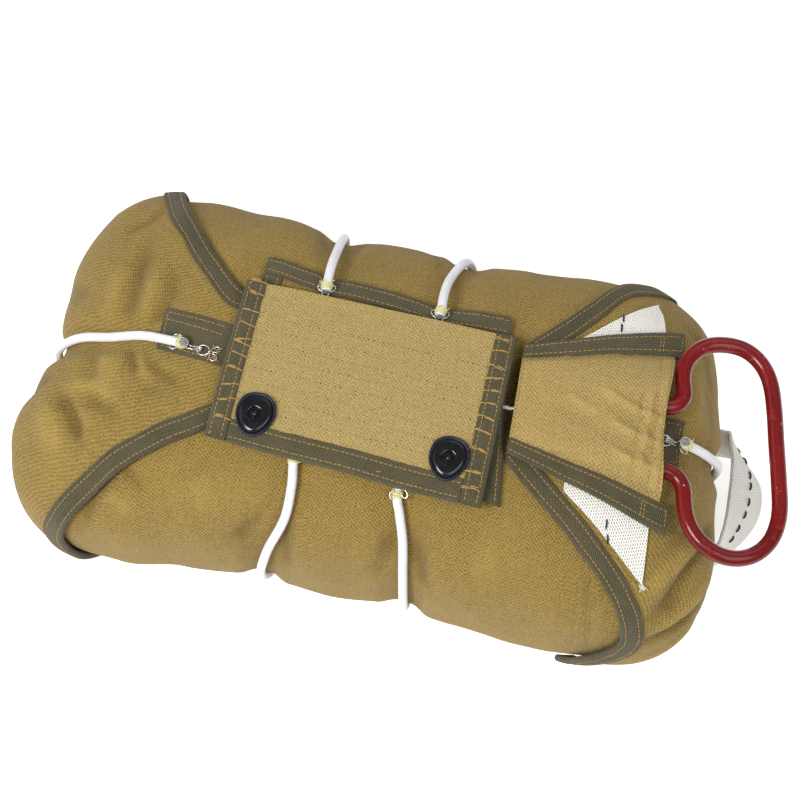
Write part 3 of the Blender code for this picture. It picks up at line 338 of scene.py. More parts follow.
# Turned profiles. Columns: share of the outline's radius, height
SNAP_FLANGE = (
    (0.3, 0), (1, 0), (1.02, 0.35), (1.01, 0.9), (0.97, 1.2), (0.91, 1.1), (0.88, 0.7), (0.85, 0.5),
    (0.3, 0.5),
)
SNAP_PLATE = (
    (0.31, 0.55), (0.835, 0.55), (0.845, 1.3), (0.825, 1.9), (0.77, 2.3), (0.68, 2.5), (0.56, 2.6),
    (0.42, 2.65), (0.36, 2.6), (0.325, 2.3), (0.31, 1.2),
)
# Columns: name, place in metres, size, power
LIGHTS = (
    ("key", (-0.6, -0.72, 1.5), 0.6, 22.0),
    ("fill", (0.7, -0.6, 1.5), 1.0, 9.0),
    ("rim", (0.3, 1.0, 1.1), 0.9, 2.4),
    ("side", (-1.15, -0.15, 1.0), 0.8, 1.6),
)
# Camera: azimuth and elevation in degrees, then metres
VIEW = (13.5, 70.0)
VIEW_DISTANCE = 1.6
VIEW_WIDTH = 0.44
AIM = (0, 0, 0.06)
AIM_SHIFT = (15 * 0.00055, 23 * 0.00055)
SENSOR = 36
WORLD_LIGHT, FLOOR_GLOW = 0.33, 0.62


def ease(share):
    share = np.clip(share, 0.0, 1.0)
    return share * share * (3 - 2 * share)


def unit(vectors):
    return vectors / np.maximum(np.linalg.norm(vectors, axis=-1, keepdims=True), 1e-9)


def read_table(rows, at, column=1):
    """Values of a table's column at places between its rows, eased from row to row."""
    places, values = (np.array([row[k] for row in rows], float) for k in (0, column))
    before = np.clip(np.searchsorted(places, at) - 1, 0, len(rows) - 2)
    share = ease((at - places[before]) / (places[before + 1] - places[before]))
    return values[before] + (values[before + 1] - values[before]) * share


def gauge(points):
    """Below one inside the filled body and above one outside it."""
    x, y, z = points[..., 0], points[..., 1], points[..., 2]
    left = x < 0
    reach = np.where(left, read_table(ENDS, y, 1), read_table(ENDS, y, 2))
    side = np.where(y > 0, read_table(STATIONS, x, 1), read_table(STATIONS, x, 2))
    rise = np.where(z > MID, read_table(STATIONS, x, 3) - MID, UNDER)
    end = (np.abs(x) / reach) ** np.where(left, END_POWER_LEFT, END_POWER_RIGHT)
    return end + (np.abs(y) / side) ** SIDE_POWER + (np.abs(z - MID) / rise) ** CROWN_POWER


def outward(points):
    return unit(np.stack([gauge(points + nudge) - gauge(points - nudge) for nudge in np.eye(3) / 2], -1))


def lump(points):
    x, y, z = points[..., 0], points[..., 1], points[..., 2]
    height = sum(size * np.sin(2 * np.pi * x / along + phase) * np.sin(2 * np.pi * y / across + phase)
                 for size, along, across, phase in LUMPS)
    return np.where(z < MID, 0.0, height * ease((z - MID) / 30) * ease((np.abs(y) - 35) / 30))


def halve(place, low, high, steps):
    """Closes in on the body's surface between a place inside it and one outside it."""
    for _ in range(steps):
        middle = (low + high) / 2
        inside = gauge(place(middle)) < 1
        low, high = np.where(inside, middle, low), np.where(inside, high, middle)
    return high


def bare_skin(points):
    """Points of the body's outer surface seen from its spine towards the points, and the normals there."""
    points = np.asarray(points, float)
    base = np.zeros_like(points)
    base[..., 0] = np.clip(points[..., 0], -SPINE, SPINE)
    base[..., 2] = MID
    ray = unit(points - base)
    whole = np.ones(points.shape[:-1])
    reach = halve(lambda length: base + ray * length[..., None], 20 * whole, 260 * whole, 28)
    hit = base + ray * reach[..., None]
    normal = outward(hit)
    low = hit[..., 2:] < 0
    ground = base + ray * (MID / np.maximum(-ray[..., 2:], 1e-6))
    found = np.where(low, ground, hit + normal * lump(hit)[..., None])
    return found, np.where(low, np.array([0, 0, -1.0]), normal)


def above(x, y):
    """Points of the body's top over places in plan."""
    x, y = np.broadcast_arrays(np.asarray(x, float), np.asarray(y, float))
    whole = np.ones(x.shape)
    return np.stack((x, y, halve(lambda z: np.stack((x, y, z), -1), MID * whole, 140 * whole, 26)), -1)


def running_length(points):
    """How long each line of points is up to each of them."""
    steps = np.linalg.norm(np.diff(points, axis=-2), axis=-1)
    return np.concatenate((np.zeros((*steps.shape[:-1], 1)), np.cumsum(steps, axis=-1)), axis=-1)


def read_line(points, lengths, at):
    """Points of a line at lengths along it."""
    return np.stack([np.interp(at, lengths, column) for column in np.transpose(points)], -1)


def smooth_line(rows, count):
    """Evenly spaced points of a smooth curve through the rows."""
    rows = np.array(rows, float)
    ends = np.vstack((2 * rows[0] - rows[1], rows, 2 * rows[-1] - rows[-2]))
    dense = [0.5 * (2 * b + (c - a) * t + (2 * a - 5 * b + 4 * c - d) * t ** 2
                    + (3 * b - a - 3 * c + d) * t ** 3)
             for a, b, c, d in zip(ends, ends[1:], ends[2:], ends[3:]) for t in np.arange(12) / 12]
    dense = np.array([*dense, rows[-1]])
    lengths = running_length(dense[:, :3])
    return read_line(dense, lengths, np.linspace(0, lengths[-1], count))


def plan_line(points, count):
    """Evenly spaced points of a smooth curve through places in plan."""
    return smooth_line([(*point, 0) for point in points], count)


def nearest(spots, line):
    """How far spots lie from a line, and beside which share of it."""
    best, place = np.full(spots.shape[:-1], FAR), np.zeros(spots.shape[:-1])
    for k, (a, b) in enumerate(zip(line, line[1:])):
        run = b - a
        step = np.clip(((spots - a) @ run) / (run @ run), 0, 1)
        space = np.linalg.norm(spots - a - step[..., None] * run, axis=-1)
        place = np.where(space < best, (k + step) / (len(line) - 1), place)
        best = np.minimum(best, space)
    return best, place


def cord_line(rows, count):
    """Points of a cord's centre line, the skin's normals and the height of the layers under them."""
    table = smooth_line(rows, count)
    hit, normal = bare_skin(table[:, :3])
    return hit + normal * table[:, 3:4], normal, table[:, 4]


class Valleys:
    """How far the cords draw the canvas in, from the cords' centre lines."""

    def lay(self):
        self.centres, self.sinks = np.zeros((0, 3)), np.zeros(0)
        for _, rows, count, _ in CORDS:
            line, _, layers = cord_line(rows, count)
            halves = np.arange(2 * count - 2) / 2
            line, layers = read_line(line, range(count), halves), np.interp(halves, range(count), layers)
            hit, normal = bare_skin(line)
            sink = CORD_RADIUS + CORD_CLEAR + layers - ((line - hit) * normal).sum(axis=1)
            self.centres = np.vstack((self.centres, line))
            self.sinks = np.append(self.sinks, np.maximum(0, sink))

    def read(self, hit, normal):
        """Depth of the valleys at points, and how far each point is from a cord."""
        shape = hit.shape[:-1]
        hit, normal = hit.reshape(-1, 3), normal.reshape(-1, 3)
        depth, distance = np.zeros(len(hit)), np.full(len(hit), FAR)
        for start in range(0, len(hit), CHUNK):
            part = slice(start, start + CHUNK)
            away = hit[part, None] - self.centres[None]
            along = (away * normal[part, None]).sum(axis=2)
            space = np.linalg.norm(away - along[..., None] * normal[part, None], axis=2)
            near = np.abs(along) < VALLEY_DEPTH
            fall = 1 - ease((space - VALLEY_FLOOR) / (VALLEY - VALLEY_FLOOR))
            depth[part] = np.where(near, self.sinks * fall, 0).max(axis=1)
            distance[part] = np.where(near, space, FAR).min(axis=1)
        return depth.reshape(shape), distance.reshape(shape)


class Folds:
    """The drawn folds, each laid on the skin once."""

    def lay(self):
        self.lines = []
        for size, width, *line in FOLDS:
            line = bare_skin(smooth_line(line, 4 * len(line)))[0]
            centre = line.mean(axis=0)
            reach = np.linalg.norm(line - centre, axis=1).max() + 3 * width
            self.lines.append((size, width, line, centre, reach))

    def height(self, hit):
        """Height of the folds at points of the skin."""
        height = np.zeros(hit.shape[:-1])
        for size, width, line, centre, reach in self.lines:
            near = np.linalg.norm(hit - centre, axis=-1) < reach
            if near.any():
                best, place = nearest(hit[near], line)
                ends = ease(place / 0.3) * ease((1 - place) / 0.3)
                height[near] += size * np.exp(-(best / width) ** 2) * (0.25 + 0.75 * ends)
        return height


valleys = Valleys()
drawn_folds = Folds()


def ripple(points, scale, seed):
    """Soft random height from -1 to 1."""
    flat = points.reshape(-1, 3) / scale + seed * 7.3
    return np.array([noise.noise(Vector(p)) for p in flat]).reshape(points.shape[:-1])


class Spots:
    """Places on the skin, which give the points of any layer there. Draped layers follow the folds."""

    def __init__(self, points, draped=True):
        self.hit, self.normal = bare_skin(points)
        self.rise = np.zeros(self.hit.shape[:-1])
        if draped:
            sink, distance = valleys.read(self.hit, self.normal)
            top = ease((self.hit[..., 2] - 6) / 20)
            ripples = WIDE_RIPPLE * ripple(self.hit, 34, 1) + FINE_RIPPLE * ripple(self.hit, 13, 2)
            # tone is the folds' height, which paints light on ridges and shade in creases of the canvas
            # colour
            folds = self.tone = drawn_folds.height(self.hit) + ripples * top
            self.rise = np.where(folds > 0, folds * ease((distance - 5) / 9), folds * top) - sink

    def at(self, lift):
        return self.hit + self.normal * (self.rise + lift)[..., None]


# Mesh building: points in millimetres
def piece(name, points, faces, look, cloth, body="pack", replaces=(), sharp=50):
    """A mesh piece from points and faces, with its place on the cloth in millimetres as its UV map."""
    mesh = bpy.data.meshes.new(name)
    mesh.from_pydata((np.asarray(points) * MM).tolist(), [], [list(map(int, face)) for face in faces])
    mesh.update()
    made = bpy.data.objects.new(name, mesh)
    bpy.context.scene.collection.objects.link(made)
    corners = np.zeros(len(mesh.loops), int)
    mesh.loops.foreach_get("vertex_index", corners)
    layer = mesh.uv_layers.new(name="Cloth")
    layer.data.foreach_set("uv", np.reshape(cloth, (-1, 2)).astype(float)[corners].ravel())
    mesh.shade_smooth()
    if sharp:
        mesh.set_sharp_from_angle(angle=math.radians(sharp))
    mesh.materials.append(LOOKS[look][0])
    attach(made, body)
    if replaces:
        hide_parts(*replaces)
    return made


def add_tone(made, tone):
    """Keeps how far each point stands proud of or lies in the cloth around it, which paints light on ridges
    and shade in creases of its colour.
    """
    layer = made.data.attributes.new("tone", "FLOAT", "POINT")
    layer.data.foreach_set("value", np.asarray(tone, np.float32).ravel())


def grid_of(along, across):
    return np.meshgrid(along, across, indexing="ij")


def cloth_map(along, across):
    return np.stack(grid_of(along, across), -1)


def grid_faces(rows, columns, first=0, flip=False, wrap=False):
    i, j = grid_of(np.arange(rows - 1), np.arange(columns if wrap else columns - 1))
    here, after = first + i * columns, (j + 1) % columns
    faces = np.stack((here + j, here + columns + j, here + columns + after, here + after), -1).reshape(-1, 4)
    return faces[:, ::-1] if flip else faces


def facing(points, faces, outward_way):
    """Whether the faces look the way they should."""
    a, b, c = (points[faces[:, k]] for k in range(3))
    return (np.cross(b - a, c - a) * outward_way).sum() > 0


def shell(name, top, bottom, cloth, look, tone=None, **more):
    """Closed sheet from its upper and its lower grid of points, with tone for painted light and shade if
    given.
    """
    rows, columns = top.shape[:2]
    count = rows * columns
    points = np.concatenate((top.reshape(-1, 3), bottom.reshape(-1, 3)))
    upper = grid_faces(rows, columns)
    flip = not facing(points, upper, (top - bottom).reshape(-1, 3)[upper[:, 0]])
    lower = grid_faces(rows, columns, count, flip=not flip)
    index = np.arange(count).reshape(rows, columns)
    ring = np.concatenate((index[0], index[1:, -1], index[-1, -2::-1], index[-2:0:-1, 0]))
    after = np.roll(ring, -1)
    rim = np.stack((ring, after, after + count, ring + count), -1)
    if flip:
        upper, rim = upper[:, ::-1], rim[:, ::-1]
    cloth = np.reshape(cloth, (-1, 2))
    made = piece(name, points, np.concatenate((upper, lower, rim)), look, np.tile(cloth, (2, 1)), **more)
    if tone is not None:
        add_tone(made, np.tile(np.ravel(tone), 2))
    return made


def sweep(name, rings, cloth, look, **more):
    """Closed solid through rings of points, with flat ends."""
    rows, columns = rings.shape[:2]
    points = rings.reshape(-1, 3)
    faces = grid_faces(rows, columns, wrap=True)
    near, far = np.arange(columns), np.arange((rows - 1) * columns, rows * columns)
    if facing(points, faces, (rings - rings.mean(axis=1, keepdims=True)).reshape(-1, 3)[faces[:, 0]]):
        ends = [near[::-1], far]
    else:
        faces, ends = faces[:, ::-1], [near, far[::-1]]
    return piece(name, points, [*faces, *ends], look, cloth, **more)


def tube_rings(line, radius, sides, closed):
    """Rings of points round a line, without twist."""
    if closed:
        tangent = unit(np.roll(line, -1, axis=0) - np.roll(line, 1, axis=0))
    else:
        tangent = unit(np.gradient(line, axis=0))
    side = np.cross(tangent[0], [0.0, 0.0, 1.0])
    if np.linalg.norm(side) < 0.1:
        side = np.cross(tangent[0], [1.0, 0.0, 0.0])
    side = unit(side)
    across = []
    for way in tangent:
        side = unit(side - way * (side @ way))
        across.append(side)
    across = np.array(across)
    up = np.cross(across, tangent)
    angle = np.linspace(0, 2 * np.pi, sides, endpoint=False)[:, None]
    radius = np.broadcast_to(np.asarray(radius, float), (len(line),))[:, None, None]
    return line[:, None] + radius * (np.cos(angle) * across[:, None] + np.sin(angle) * up[:, None])


class Heap:
    """Many small tubes gathered as one piece."""

    def __init__(self):
        self.points, self.faces, self.cloth, self.count = [], [], [], 0

    def keep(self, points, cloth):
        self.points.append(points.reshape(-1, 3))
        self.cloth.append(cloth.reshape(-1, 2))
        self.count += len(self.points[-1])

    def tube(self, line, radius, sides, closed=False):
        line = np.asarray(line, float)
        rings = tube_rings(line, radius, sides, closed)
        along = running_length(line)
        around = np.linspace(0, 2 * np.pi * float(np.max(radius)), sides, endpoint=False)
        if closed:
            rings = np.concatenate((rings, rings[:1]))
            along = np.append(along, along[-1] + 1)
        rows = len(rings)
        self.faces += grid_faces(rows, sides, self.count, wrap=True)[:, ::-1].tolist()
        if not closed:
            last = self.count + (rows - 1) * sides
            self.faces += [range(self.count, self.count + sides), range(last + sides - 1, last - 1, -1)]
        self.keep(rings, cloth_map(along, around))

    def stitches(self, line, normal, size=1.9, pitch=2.6, radius=0.24, start=1.0, sway=0.12, seed=1,
                 rise=0.2):
        """Short threads that come up and go down again along a line."""
        chance = np.random.default_rng(seed)
        length = running_length(line)
        first = np.arange(start, length[-1] - size - 0.3, pitch)
        first = first + chance.uniform(-0.12, 0.12, len(first)) * pitch
        shares, heights, widths = np.transpose(STITCH)
        places = first[:, None] + size * shares
        spots, ups = read_line(line, length, places), unit(read_line(normal, length, places))
        run = unit(read_line(line, length, places + 0.3) - read_line(line, length, places - 0.3))
        side = unit(np.cross(run, ups))
        swing = chance.uniform(-1, 1, (len(first), 2)) * sway
        swing = swing[:, :1] * (1 - shares) + swing[:, 1:] * shares
        spots = spots + ups * (heights * rise)[:, None] + side * swing[..., None]
        angle = np.linspace(0, 2 * np.pi, 6, endpoint=False)
        turn = angle[:, None]
        rings = spots[:, :, None] + (widths * radius)[:, None, None] * (
            np.cos(turn) * side[:, :, None] + np.sin(turn) * ups[:, :, None])
        block = grid_faces(5, 6, wrap=True)
        for base in range(self.count, self.count + 30 * len(first), 30):
            self.faces += (block + base).tolist()
            self.faces += [range(base + 5, base - 1, -1), range(base + 24, base + 30)]
        along = np.repeat(places[..., None], 6, axis=-1)
        self.keep(rings, np.stack((along, np.broadcast_to(angle * radius, along.shape)), -1))

    def piece(self, name, look, **more):
        return piece(name, np.concatenate(self.points), self.faces, look, np.concatenate(self.cloth),
                     sharp=60, **more)


# Materials
class Value:
    """A number that a node gives, to reckon with."""

    def __init__(self, shade, socket):
        self.shade, self.socket = shade, socket

    def __add__(self, other):
        return self.shade.math("ADD", self, other)

    def __sub__(self, other):
        return self.shade.math("SUBTRACT", self, other)

    def __mul__(self, other):
        return self.shade.math("MULTIPLY", self, other)

    def __truediv__(self, other):
        return self.shade.math("DIVIDE", self, other)

    def __pow__(self, other):
        return self.shade.math("POWER", self, other)


class Shade:
    """A node material, built step by step."""

    def __init__(self, name, roughness, metallic=0.0, **fixed):
        self.material = bpy.data.materials.new(name)
        self.material.use_nodes = True
        self.tree = self.material.node_tree
        self.shader = self.tree.nodes["Principled BSDF"]
        for socket, value in {"Roughness": roughness, "Metallic": metallic, **fixed}.items():
            self.shader.inputs[socket.replace("_", " ")].default_value = value
        split = self.node("ShaderNodeSeparateXYZ")
        self.join(self.node("ShaderNodeUVMap", uv_map="Cloth").outputs[0], split.inputs[0])
        self.u, self.v = Value(self, split.outputs[0]), Value(self, split.outputs[1])
        self.where = self.node("ShaderNodeNewGeometry").outputs["Position"]

    def node(self, kind, **values):
        made = self.tree.nodes.new(kind)
        for key, value in values.items():
            setattr(made, key, value)
        return made

    def join(self, source, socket):
        source = getattr(source, "socket", source)
        if hasattr(source, "links"):
            self.tree.links.new(source, socket)
        else:
            socket.default_value = source

    def reckon(self, made, *values):
        for socket, value in zip(made.inputs, values):
            self.join(value, socket)
        return Value(self, made.outputs[0])

    def math(self, operation, a, b=0.0, c=0.0):
        return self.reckon(self.node("ShaderNodeMath", operation=operation), a, b, c)

    def wave(self, value, period):
        return self.math("SINE", self.math("MULTIPLY_ADD", value, 2 * math.pi / period))

    def scaled(self, value, low, high, to_low=0.0, to_high=1.0):
        return self.reckon(self.node("ShaderNodeMapRange"), value, low, high, to_low, to_high)

    def noise(self, scale, detail=2.0, vector=None):
        made = self.node("ShaderNodeTexNoise")
        self.join(self.where if vector is None else vector, made.inputs["Vector"])
        for name, value in (("Scale", scale), ("Detail", detail), ("Roughness", 0.5)):
            made.inputs[name].default_value = value
        return Value(self, made.outputs["Fac"])

    def cloth_noise(self, along, across, detail=2.0):
        """Noise drawn out along the threads, with lengths in millimetres."""
        pair = self.node("ShaderNodeCombineXYZ")
        self.join(self.u / along, pair.inputs[0])
        self.join(self.v / across, pair.inputs[1])
        return self.noise(1.0, detail, pair.outputs[0])

    def mix(self, share, a, b):
        made = self.node("ShaderNodeMix", data_type="RGBA", blend_type="MIX")
        self.join(share, made.inputs[0])
        for socket, value in ((made.inputs[6], a), (made.inputs[7], b)):
            self.join((*value, 1.0) if isinstance(value, tuple) else value, socket)
        return made.outputs[2]

    def stained(self, colour, scale, detail, low, high, share, stain):
        """A colour with soft patches of another over it."""
        return self.mix(self.scaled(self.noise(scale, detail), low, high) * share, colour, stain)

    def finish(self, colour, height=None, depth=0.3):
        self.join(colour, self.shader.inputs["Base Color"])
        if height is not None:
            bump = self.node("ShaderNodeBump")
            bump.inputs["Strength"].default_value = 1.0
            bump.inputs["Distance"].default_value = depth * MM
            self.join(height, bump.inputs["Height"])
            self.join(bump.outputs[0], self.shader.inputs["Normal"])
        return self.material


def tinted(colour, share):
    return tuple(min(1, share * part) for part in colour)


def canvas_look(name, light, dark, thread=1.0):
    """Plain woven canvas: over and under threads, uneven yarn, soft staining, and light and shade painted
    from the folds.
    """
    shade = Shade(name, 0.9, Sheen_Weight=0.08, Sheen_Roughness=0.5, Specular_IOR_Level=0.2)
    drift = (shade.cloth_noise(9, 7) - 0.5) * 1.6
    weave = shade.wave(shade.u + drift, 2.3 * thread) * shade.wave(shade.v - drift, 2.15 * thread)
    slub = shade.cloth_noise(12, 1.1, 3) + shade.cloth_noise(1.2, 13, 3)
    height = weave * 0.45 + slub * 0.55 + shade.cloth_noise(1.3, 1.2) * 1.2
    colour = shade.mix(shade.scaled(height, 0.5, 1.9), dark, light)
    colour = shade.stained(colour, 28, 3, 0.3, 0.7, 0.2, tinted(light, 0.72))
    colour = shade.stained(colour, 900, 1, 0.62, 0.8, 0.3, tinted(light, 1.5))
    # Painted light on the ridges of folds and painted shade in their creases, read from the tone attribute
    # (the folds' height)
    tone = Value(shade, shade.node("ShaderNodeAttribute", attribute_name="tone").outputs["Fac"])
    colour = shade.mix(shade.scaled(tone, 0.1, 1.6) * 0.22, colour, tinted(light, 1.3))
    colour = shade.mix(shade.scaled(tone, -0.3, -2.6) * 0.42, colour, tinted(dark, 0.5))
    return shade, colour, height


def make_looks():
    looks = {}
    for name, slot, light, dark in (
            ("canvas", "canvas", (0.425, 0.291, 0.080), (0.128, 0.079, 0.016)),
            ("end canvas", "flap_canvas", (0.435, 0.300, 0.083), (0.132, 0.082, 0.017)),
            ("flap canvas", "flap_canvas", (0.51, 0.368, 0.132), (0.19, 0.125, 0.037))):
        shade, colour, height = canvas_look(f"{name} weave", light, dark)
        looks[name] = (shade.finish(colour, height, 0.5), slot)

    shade, colour, height = canvas_look("quilted canvas weave", (0.54, 0.402, 0.158), (0.235, 0.162, 0.053),
                                        0.95)
    row, hole = (shade.math("ABSOLUTE", shade.math("FRACT", place / pitch) - 0.5)
                 for place, pitch in ((shade.v, QUILT_ROWS), (shade.u, QUILT_STITCH)))
    near = (row * (QUILT_ROWS / 0.42)) ** 2.0 + (hole * (QUILT_STITCH / 0.38)) ** 2.0
    kept = shade.scaled(shade.cloth_noise(3.4, 5.0), 0.50, 0.60, 0.0, 0.9)
    inside = shade.scaled(shade.v, 14, 15) * shade.scaled(shade.v, 77, 76)
    pit = shade.scaled(near, 1.0, 0.4) * (kept * inside)
    colour = shade.mix(pit, colour, (0.06, 0.036, 0.011))
    line = shade.scaled(row * QUILT_ROWS, 0.9, 0.3) * (inside * 0.1)
    colour = shade.mix(line, colour, (0.30, 0.20, 0.07))
    looks["quilted canvas"] = (shade.finish(colour, height - (pit * 1.2 + line), 0.45), "flap_canvas")

    shade = Shade("olive tape weave", 0.95, Sheen_Weight=0.1, Specular_IOR_Level=0.25)
    height = (shade.wave(shade.u + shade.v * 0.8, 1.5) * 0.55 + shade.wave(shade.v, 1.1) * 0.3
              + shade.cloth_noise(7, 1.0, 3) * 1.1)
    colour = shade.mix(shade.scaled(height, -0.3, 1.6), (0.038, 0.034, 0.017), (0.145, 0.128, 0.069))
    colour = shade.stained(colour, 60, 3, 0.35, 0.7, 0.35, (0.155, 0.128, 0.066))
    looks["olive tape"] = (shade.finish(colour, height, 0.35), "olive_tape")

    shade = Shade("cream webbing weave", 0.9, Sheen_Weight=0.1, Specular_IOR_Level=0.3)
    height = (shade.wave(shade.u + shade.v, 1.7) * 0.6 + shade.wave(shade.v, 1.25) * 0.5
              + shade.cloth_noise(6, 1.2, 3) * 0.9)
    colour = shade.mix(shade.scaled(height, -0.9, 0.9), (0.82, 0.78, 0.68), (1.0, 0.985, 0.93))
    colour = shade.stained(colour, 40, 3, 0.45, 0.75, 0.16, (0.80, 0.72, 0.52))
    looks["cream webbing"] = (shade.finish(colour, height, 0.4), "cream_webbing")

    shade = Shade("white elastic braid", 0.55, Sheen_Weight=0.1)
    height = shade.wave(shade.u + shade.v, 1.5) * shade.wave(shade.u - shade.v, 1.5)
    colour = shade.mix(shade.scaled(height, -1.0, 0.6), (0.76, 0.78, 0.86), (0.97, 0.97, 1.0))
    colour = shade.stained(colour, 90, 3, 0.5, 0.8, 0.12, (0.55, 0.52, 0.42))
    looks["white elastic"] = (shade.finish(colour, height, 0.14), "white_elastic")

    shade = Shade("elastic core", 0.7)
    strands = shade.node("ShaderNodeTexVoronoi")
    strands.inputs["Scale"].default_value = 1500
    shade.join(shade.where, strands.inputs["Vector"])
    share = shade.scaled(strands.outputs["Distance"], 0.1, 0.6)
    colour = shade.mix(share, (0.62, 0.60, 0.55), (0.13, 0.12, 0.11))
    looks["elastic core"] = (shade.finish(colour, share, 0.2), "white_elastic")

    for name, low, high in (
            ("golden thread", (0.32, 0.17, 0.036), (0.62, 0.39, 0.11)),
            ("pale thread", (0.62, 0.58, 0.18), (0.93, 0.90, 0.50)),
            ("canvas thread", (0.33, 0.21, 0.07), (0.56, 0.39, 0.16)),
            ("black thread", (0.006, 0.006, 0.007), (0.03, 0.03, 0.033)),
            ("white thread", (0.75, 0.70, 0.60), (0.95, 0.92, 0.84))):
        shade = Shade(name, 0.75, Sheen_Weight=0.1)
        twist = shade.wave(shade.u + shade.v * 1.5, 0.55)
        share = shade.scaled(twist + shade.noise(500, 2), -0.6, 1.6)
        looks[name] = (shade.finish(shade.mix(share, low, high), twist, 0.05), "yellow_thread")

    for name, low, high, rough in (
            ("bright wire", (0.42, 0.41, 0.38), (0.80, 0.79, 0.76), 0.28),
            ("cable steel", (0.30, 0.29, 0.27), (0.72, 0.71, 0.68), 0.35)):
        shade = Shade(name, rough, 1.0)
        smear = shade.noise(700, 3)
        height = shade.wave(shade.u + shade.v * 1.2, 0.9) if name == "cable steel" else smear
        shade.join(shade.scaled(smear, 0.3, 0.7, rough - 0.1, rough + 0.2), shade.shader.inputs["Roughness"])
        colour = shade.mix(shade.scaled(smear, 0.35, 0.6), low, high)
        looks[name] = (shade.finish(colour, height, 0.08), name.replace(" ", "_"))

    shade = Shade("red enamel", 0.2, Coat_Weight=0.15, Coat_Roughness=0.1, Specular_IOR_Level=0.25)
    cloud = shade.scaled(shade.noise(45, 3), 0.3, 0.7)
    colour = shade.mix(cloud, (0.135, 0.0045, 0.005), (0.19, 0.0075, 0.008))
    chips = shade.scaled(shade.noise(420, 2), 0.725, 0.75)
    colour = shade.mix(chips, colour, (0.34, 0.24, 0.22))
    rub = shade.scaled(shade.noise(130, 4), 0.60, 0.72)
    colour = shade.mix(rub * 0.3, colour, (0.34, 0.045, 0.035))
    shade.join(shade.scaled(rub, 0, 1, 0.2, 0.45), shade.shader.inputs["Roughness"])
    looks["red enamel"] = (shade.finish(colour, shade.noise(160, 2) * 0.5 - chips, 0.12), "red_enamel")

    shade = Shade("black enamel", 0.14, Specular_IOR_Level=0.42)
    share = shade.scaled(shade.noise(200, 3), 0.35, 0.7)
    shade.join(shade.scaled(share, 0, 1, 0.1, 0.2), shade.shader.inputs["Roughness"])
    colour = shade.mix(share, (0.003, 0.0034, 0.0045), (0.006, 0.007, 0.009))
    looks["black enamel"] = (shade.finish(colour), "black_enamel")

    shade = Shade("blued flange", 0.42, 0.1, Specular_IOR_Level=0.3)
    share = shade.scaled(shade.noise(300, 3), 0.35, 0.7)
    colour = shade.mix(share, (0.008, 0.011, 0.019), (0.018, 0.023, 0.037))
    looks["blued flange"] = (shade.finish(colour), "black_enamel")
    return looks


LOOKS = {}


def packed_body():
    """Filled body: one grid round it, and one over each end."""
    across, up, along = 92, 56, 176
    x, y, z = 200, 100.0, 70.0
    top = [(s, z) for s in np.linspace(-y, y, across, endpoint=False)]
    far = [(y, s) for s in np.linspace(z, -z, up, endpoint=False)]
    under = [(s, -z) for s in np.linspace(y, -y, across, endpoint=False)]
    near = [(-y, s) for s in np.linspace(-z, z, up, endpoint=False)]
    loop = np.array(top + far + under + near + top[:1])
    cage = np.zeros((along + 1, len(loop), 3))
    cage[..., 0] = np.linspace(-x, x, along + 1)[:, None]
    cage[..., 1:] = loop + (0, MID)
    points, faces, tones, cloth, count = [], [], [], [], 0

    def lay(grid, flip=False):
        wrap = Spots(grid)
        body = wrap.at(-BODY_TUCK * ease((np.abs(wrap.hit[..., 0]) - 90) / 40) * (wrap.hit[..., 2] > 0))
        body[..., 2] = np.maximum(body[..., 2], 0)
        points.append(body.reshape(-1, 3))
        tones.append(wrap.tone.ravel())
        faces.append(grid_faces(*grid.shape[:2], count, flip=flip))
        return body

    body = lay(cage)
    round_it = running_length(body)
    round_it -= round_it[:, across // 2:across // 2 + 1]
    cloth.append(np.stack((body[..., 0], round_it), -1).reshape(-1, 2))
    for end in (-x, x):
        count += len(points[-1])
        grid = np.zeros((across + 1, up + 1, 3))
        grid[..., 0] = end
        grid[..., 1] = np.linspace(-y, y, across + 1)[:, None]
        grid[..., 2] = np.linspace(z, -z, up + 1) + MID
        cloth.append(lay(grid, end > 0)[..., 1:].reshape(-1, 2))
    made = piece("packed_canvas", np.concatenate(points), np.concatenate(faces), "canvas",
                 np.concatenate(cloth), replaces=["packed_body"], sharp=0)
    add_tone(made, np.concatenate(tones))
    weld(made)


def weld(made):
    """Joins points at the same place, and turns every face outward."""
    bm = bmesh.new()
    bm.from_mesh(made.data)
    bmesh.ops.remove_doubles(bm, verts=bm.verts, dist=0.00002)
    bmesh.ops.recalc_face_normals(bm, faces=bm.faces)
    bm.to_mesh(made.data)
    bm.free()
    made.data.shade_smooth()


def tape(name, node, place, seed, heap, seam_seed):
    """Binding folded round an edge, with its seams. place gives the spots at a distance in from the edge."""
    spots = {inset: place(inset) for inset in {row[0] for row in TAPE_OUTLINE}}
    rings = np.stack([spots[inset].at(lift) for inset, lift in TAPE_OUTLINE], axis=1)
    sway = np.array([noise.noise(Vector((k * 0.13, seed * 3.1, 0))) for k in range(len(rings))]) * 0.55
    toward = unit(rings[:, 10] - rings[:, 13])
    for k, (inset, lift) in enumerate(TAPE_OUTLINE):
        if inset > 9.5 and lift > 3:
            rings[:, k] += toward * sway[:, None]
    outline = np.column_stack((TAPE_OUTLINE, np.zeros(len(TAPE_OUTLINE))))
    cloth = cloth_map(running_length(rings[:, 9]), running_length(outline))
    made = sweep(name, rings, cloth, "olive tape", replaces=[node])
    for k, inset in enumerate(SEAM_INSETS):
        found = place(inset)
        heap.stitches(found.at(SEAM_LIFT), found.normal, seed=seam_seed * 10 + k)
    return made


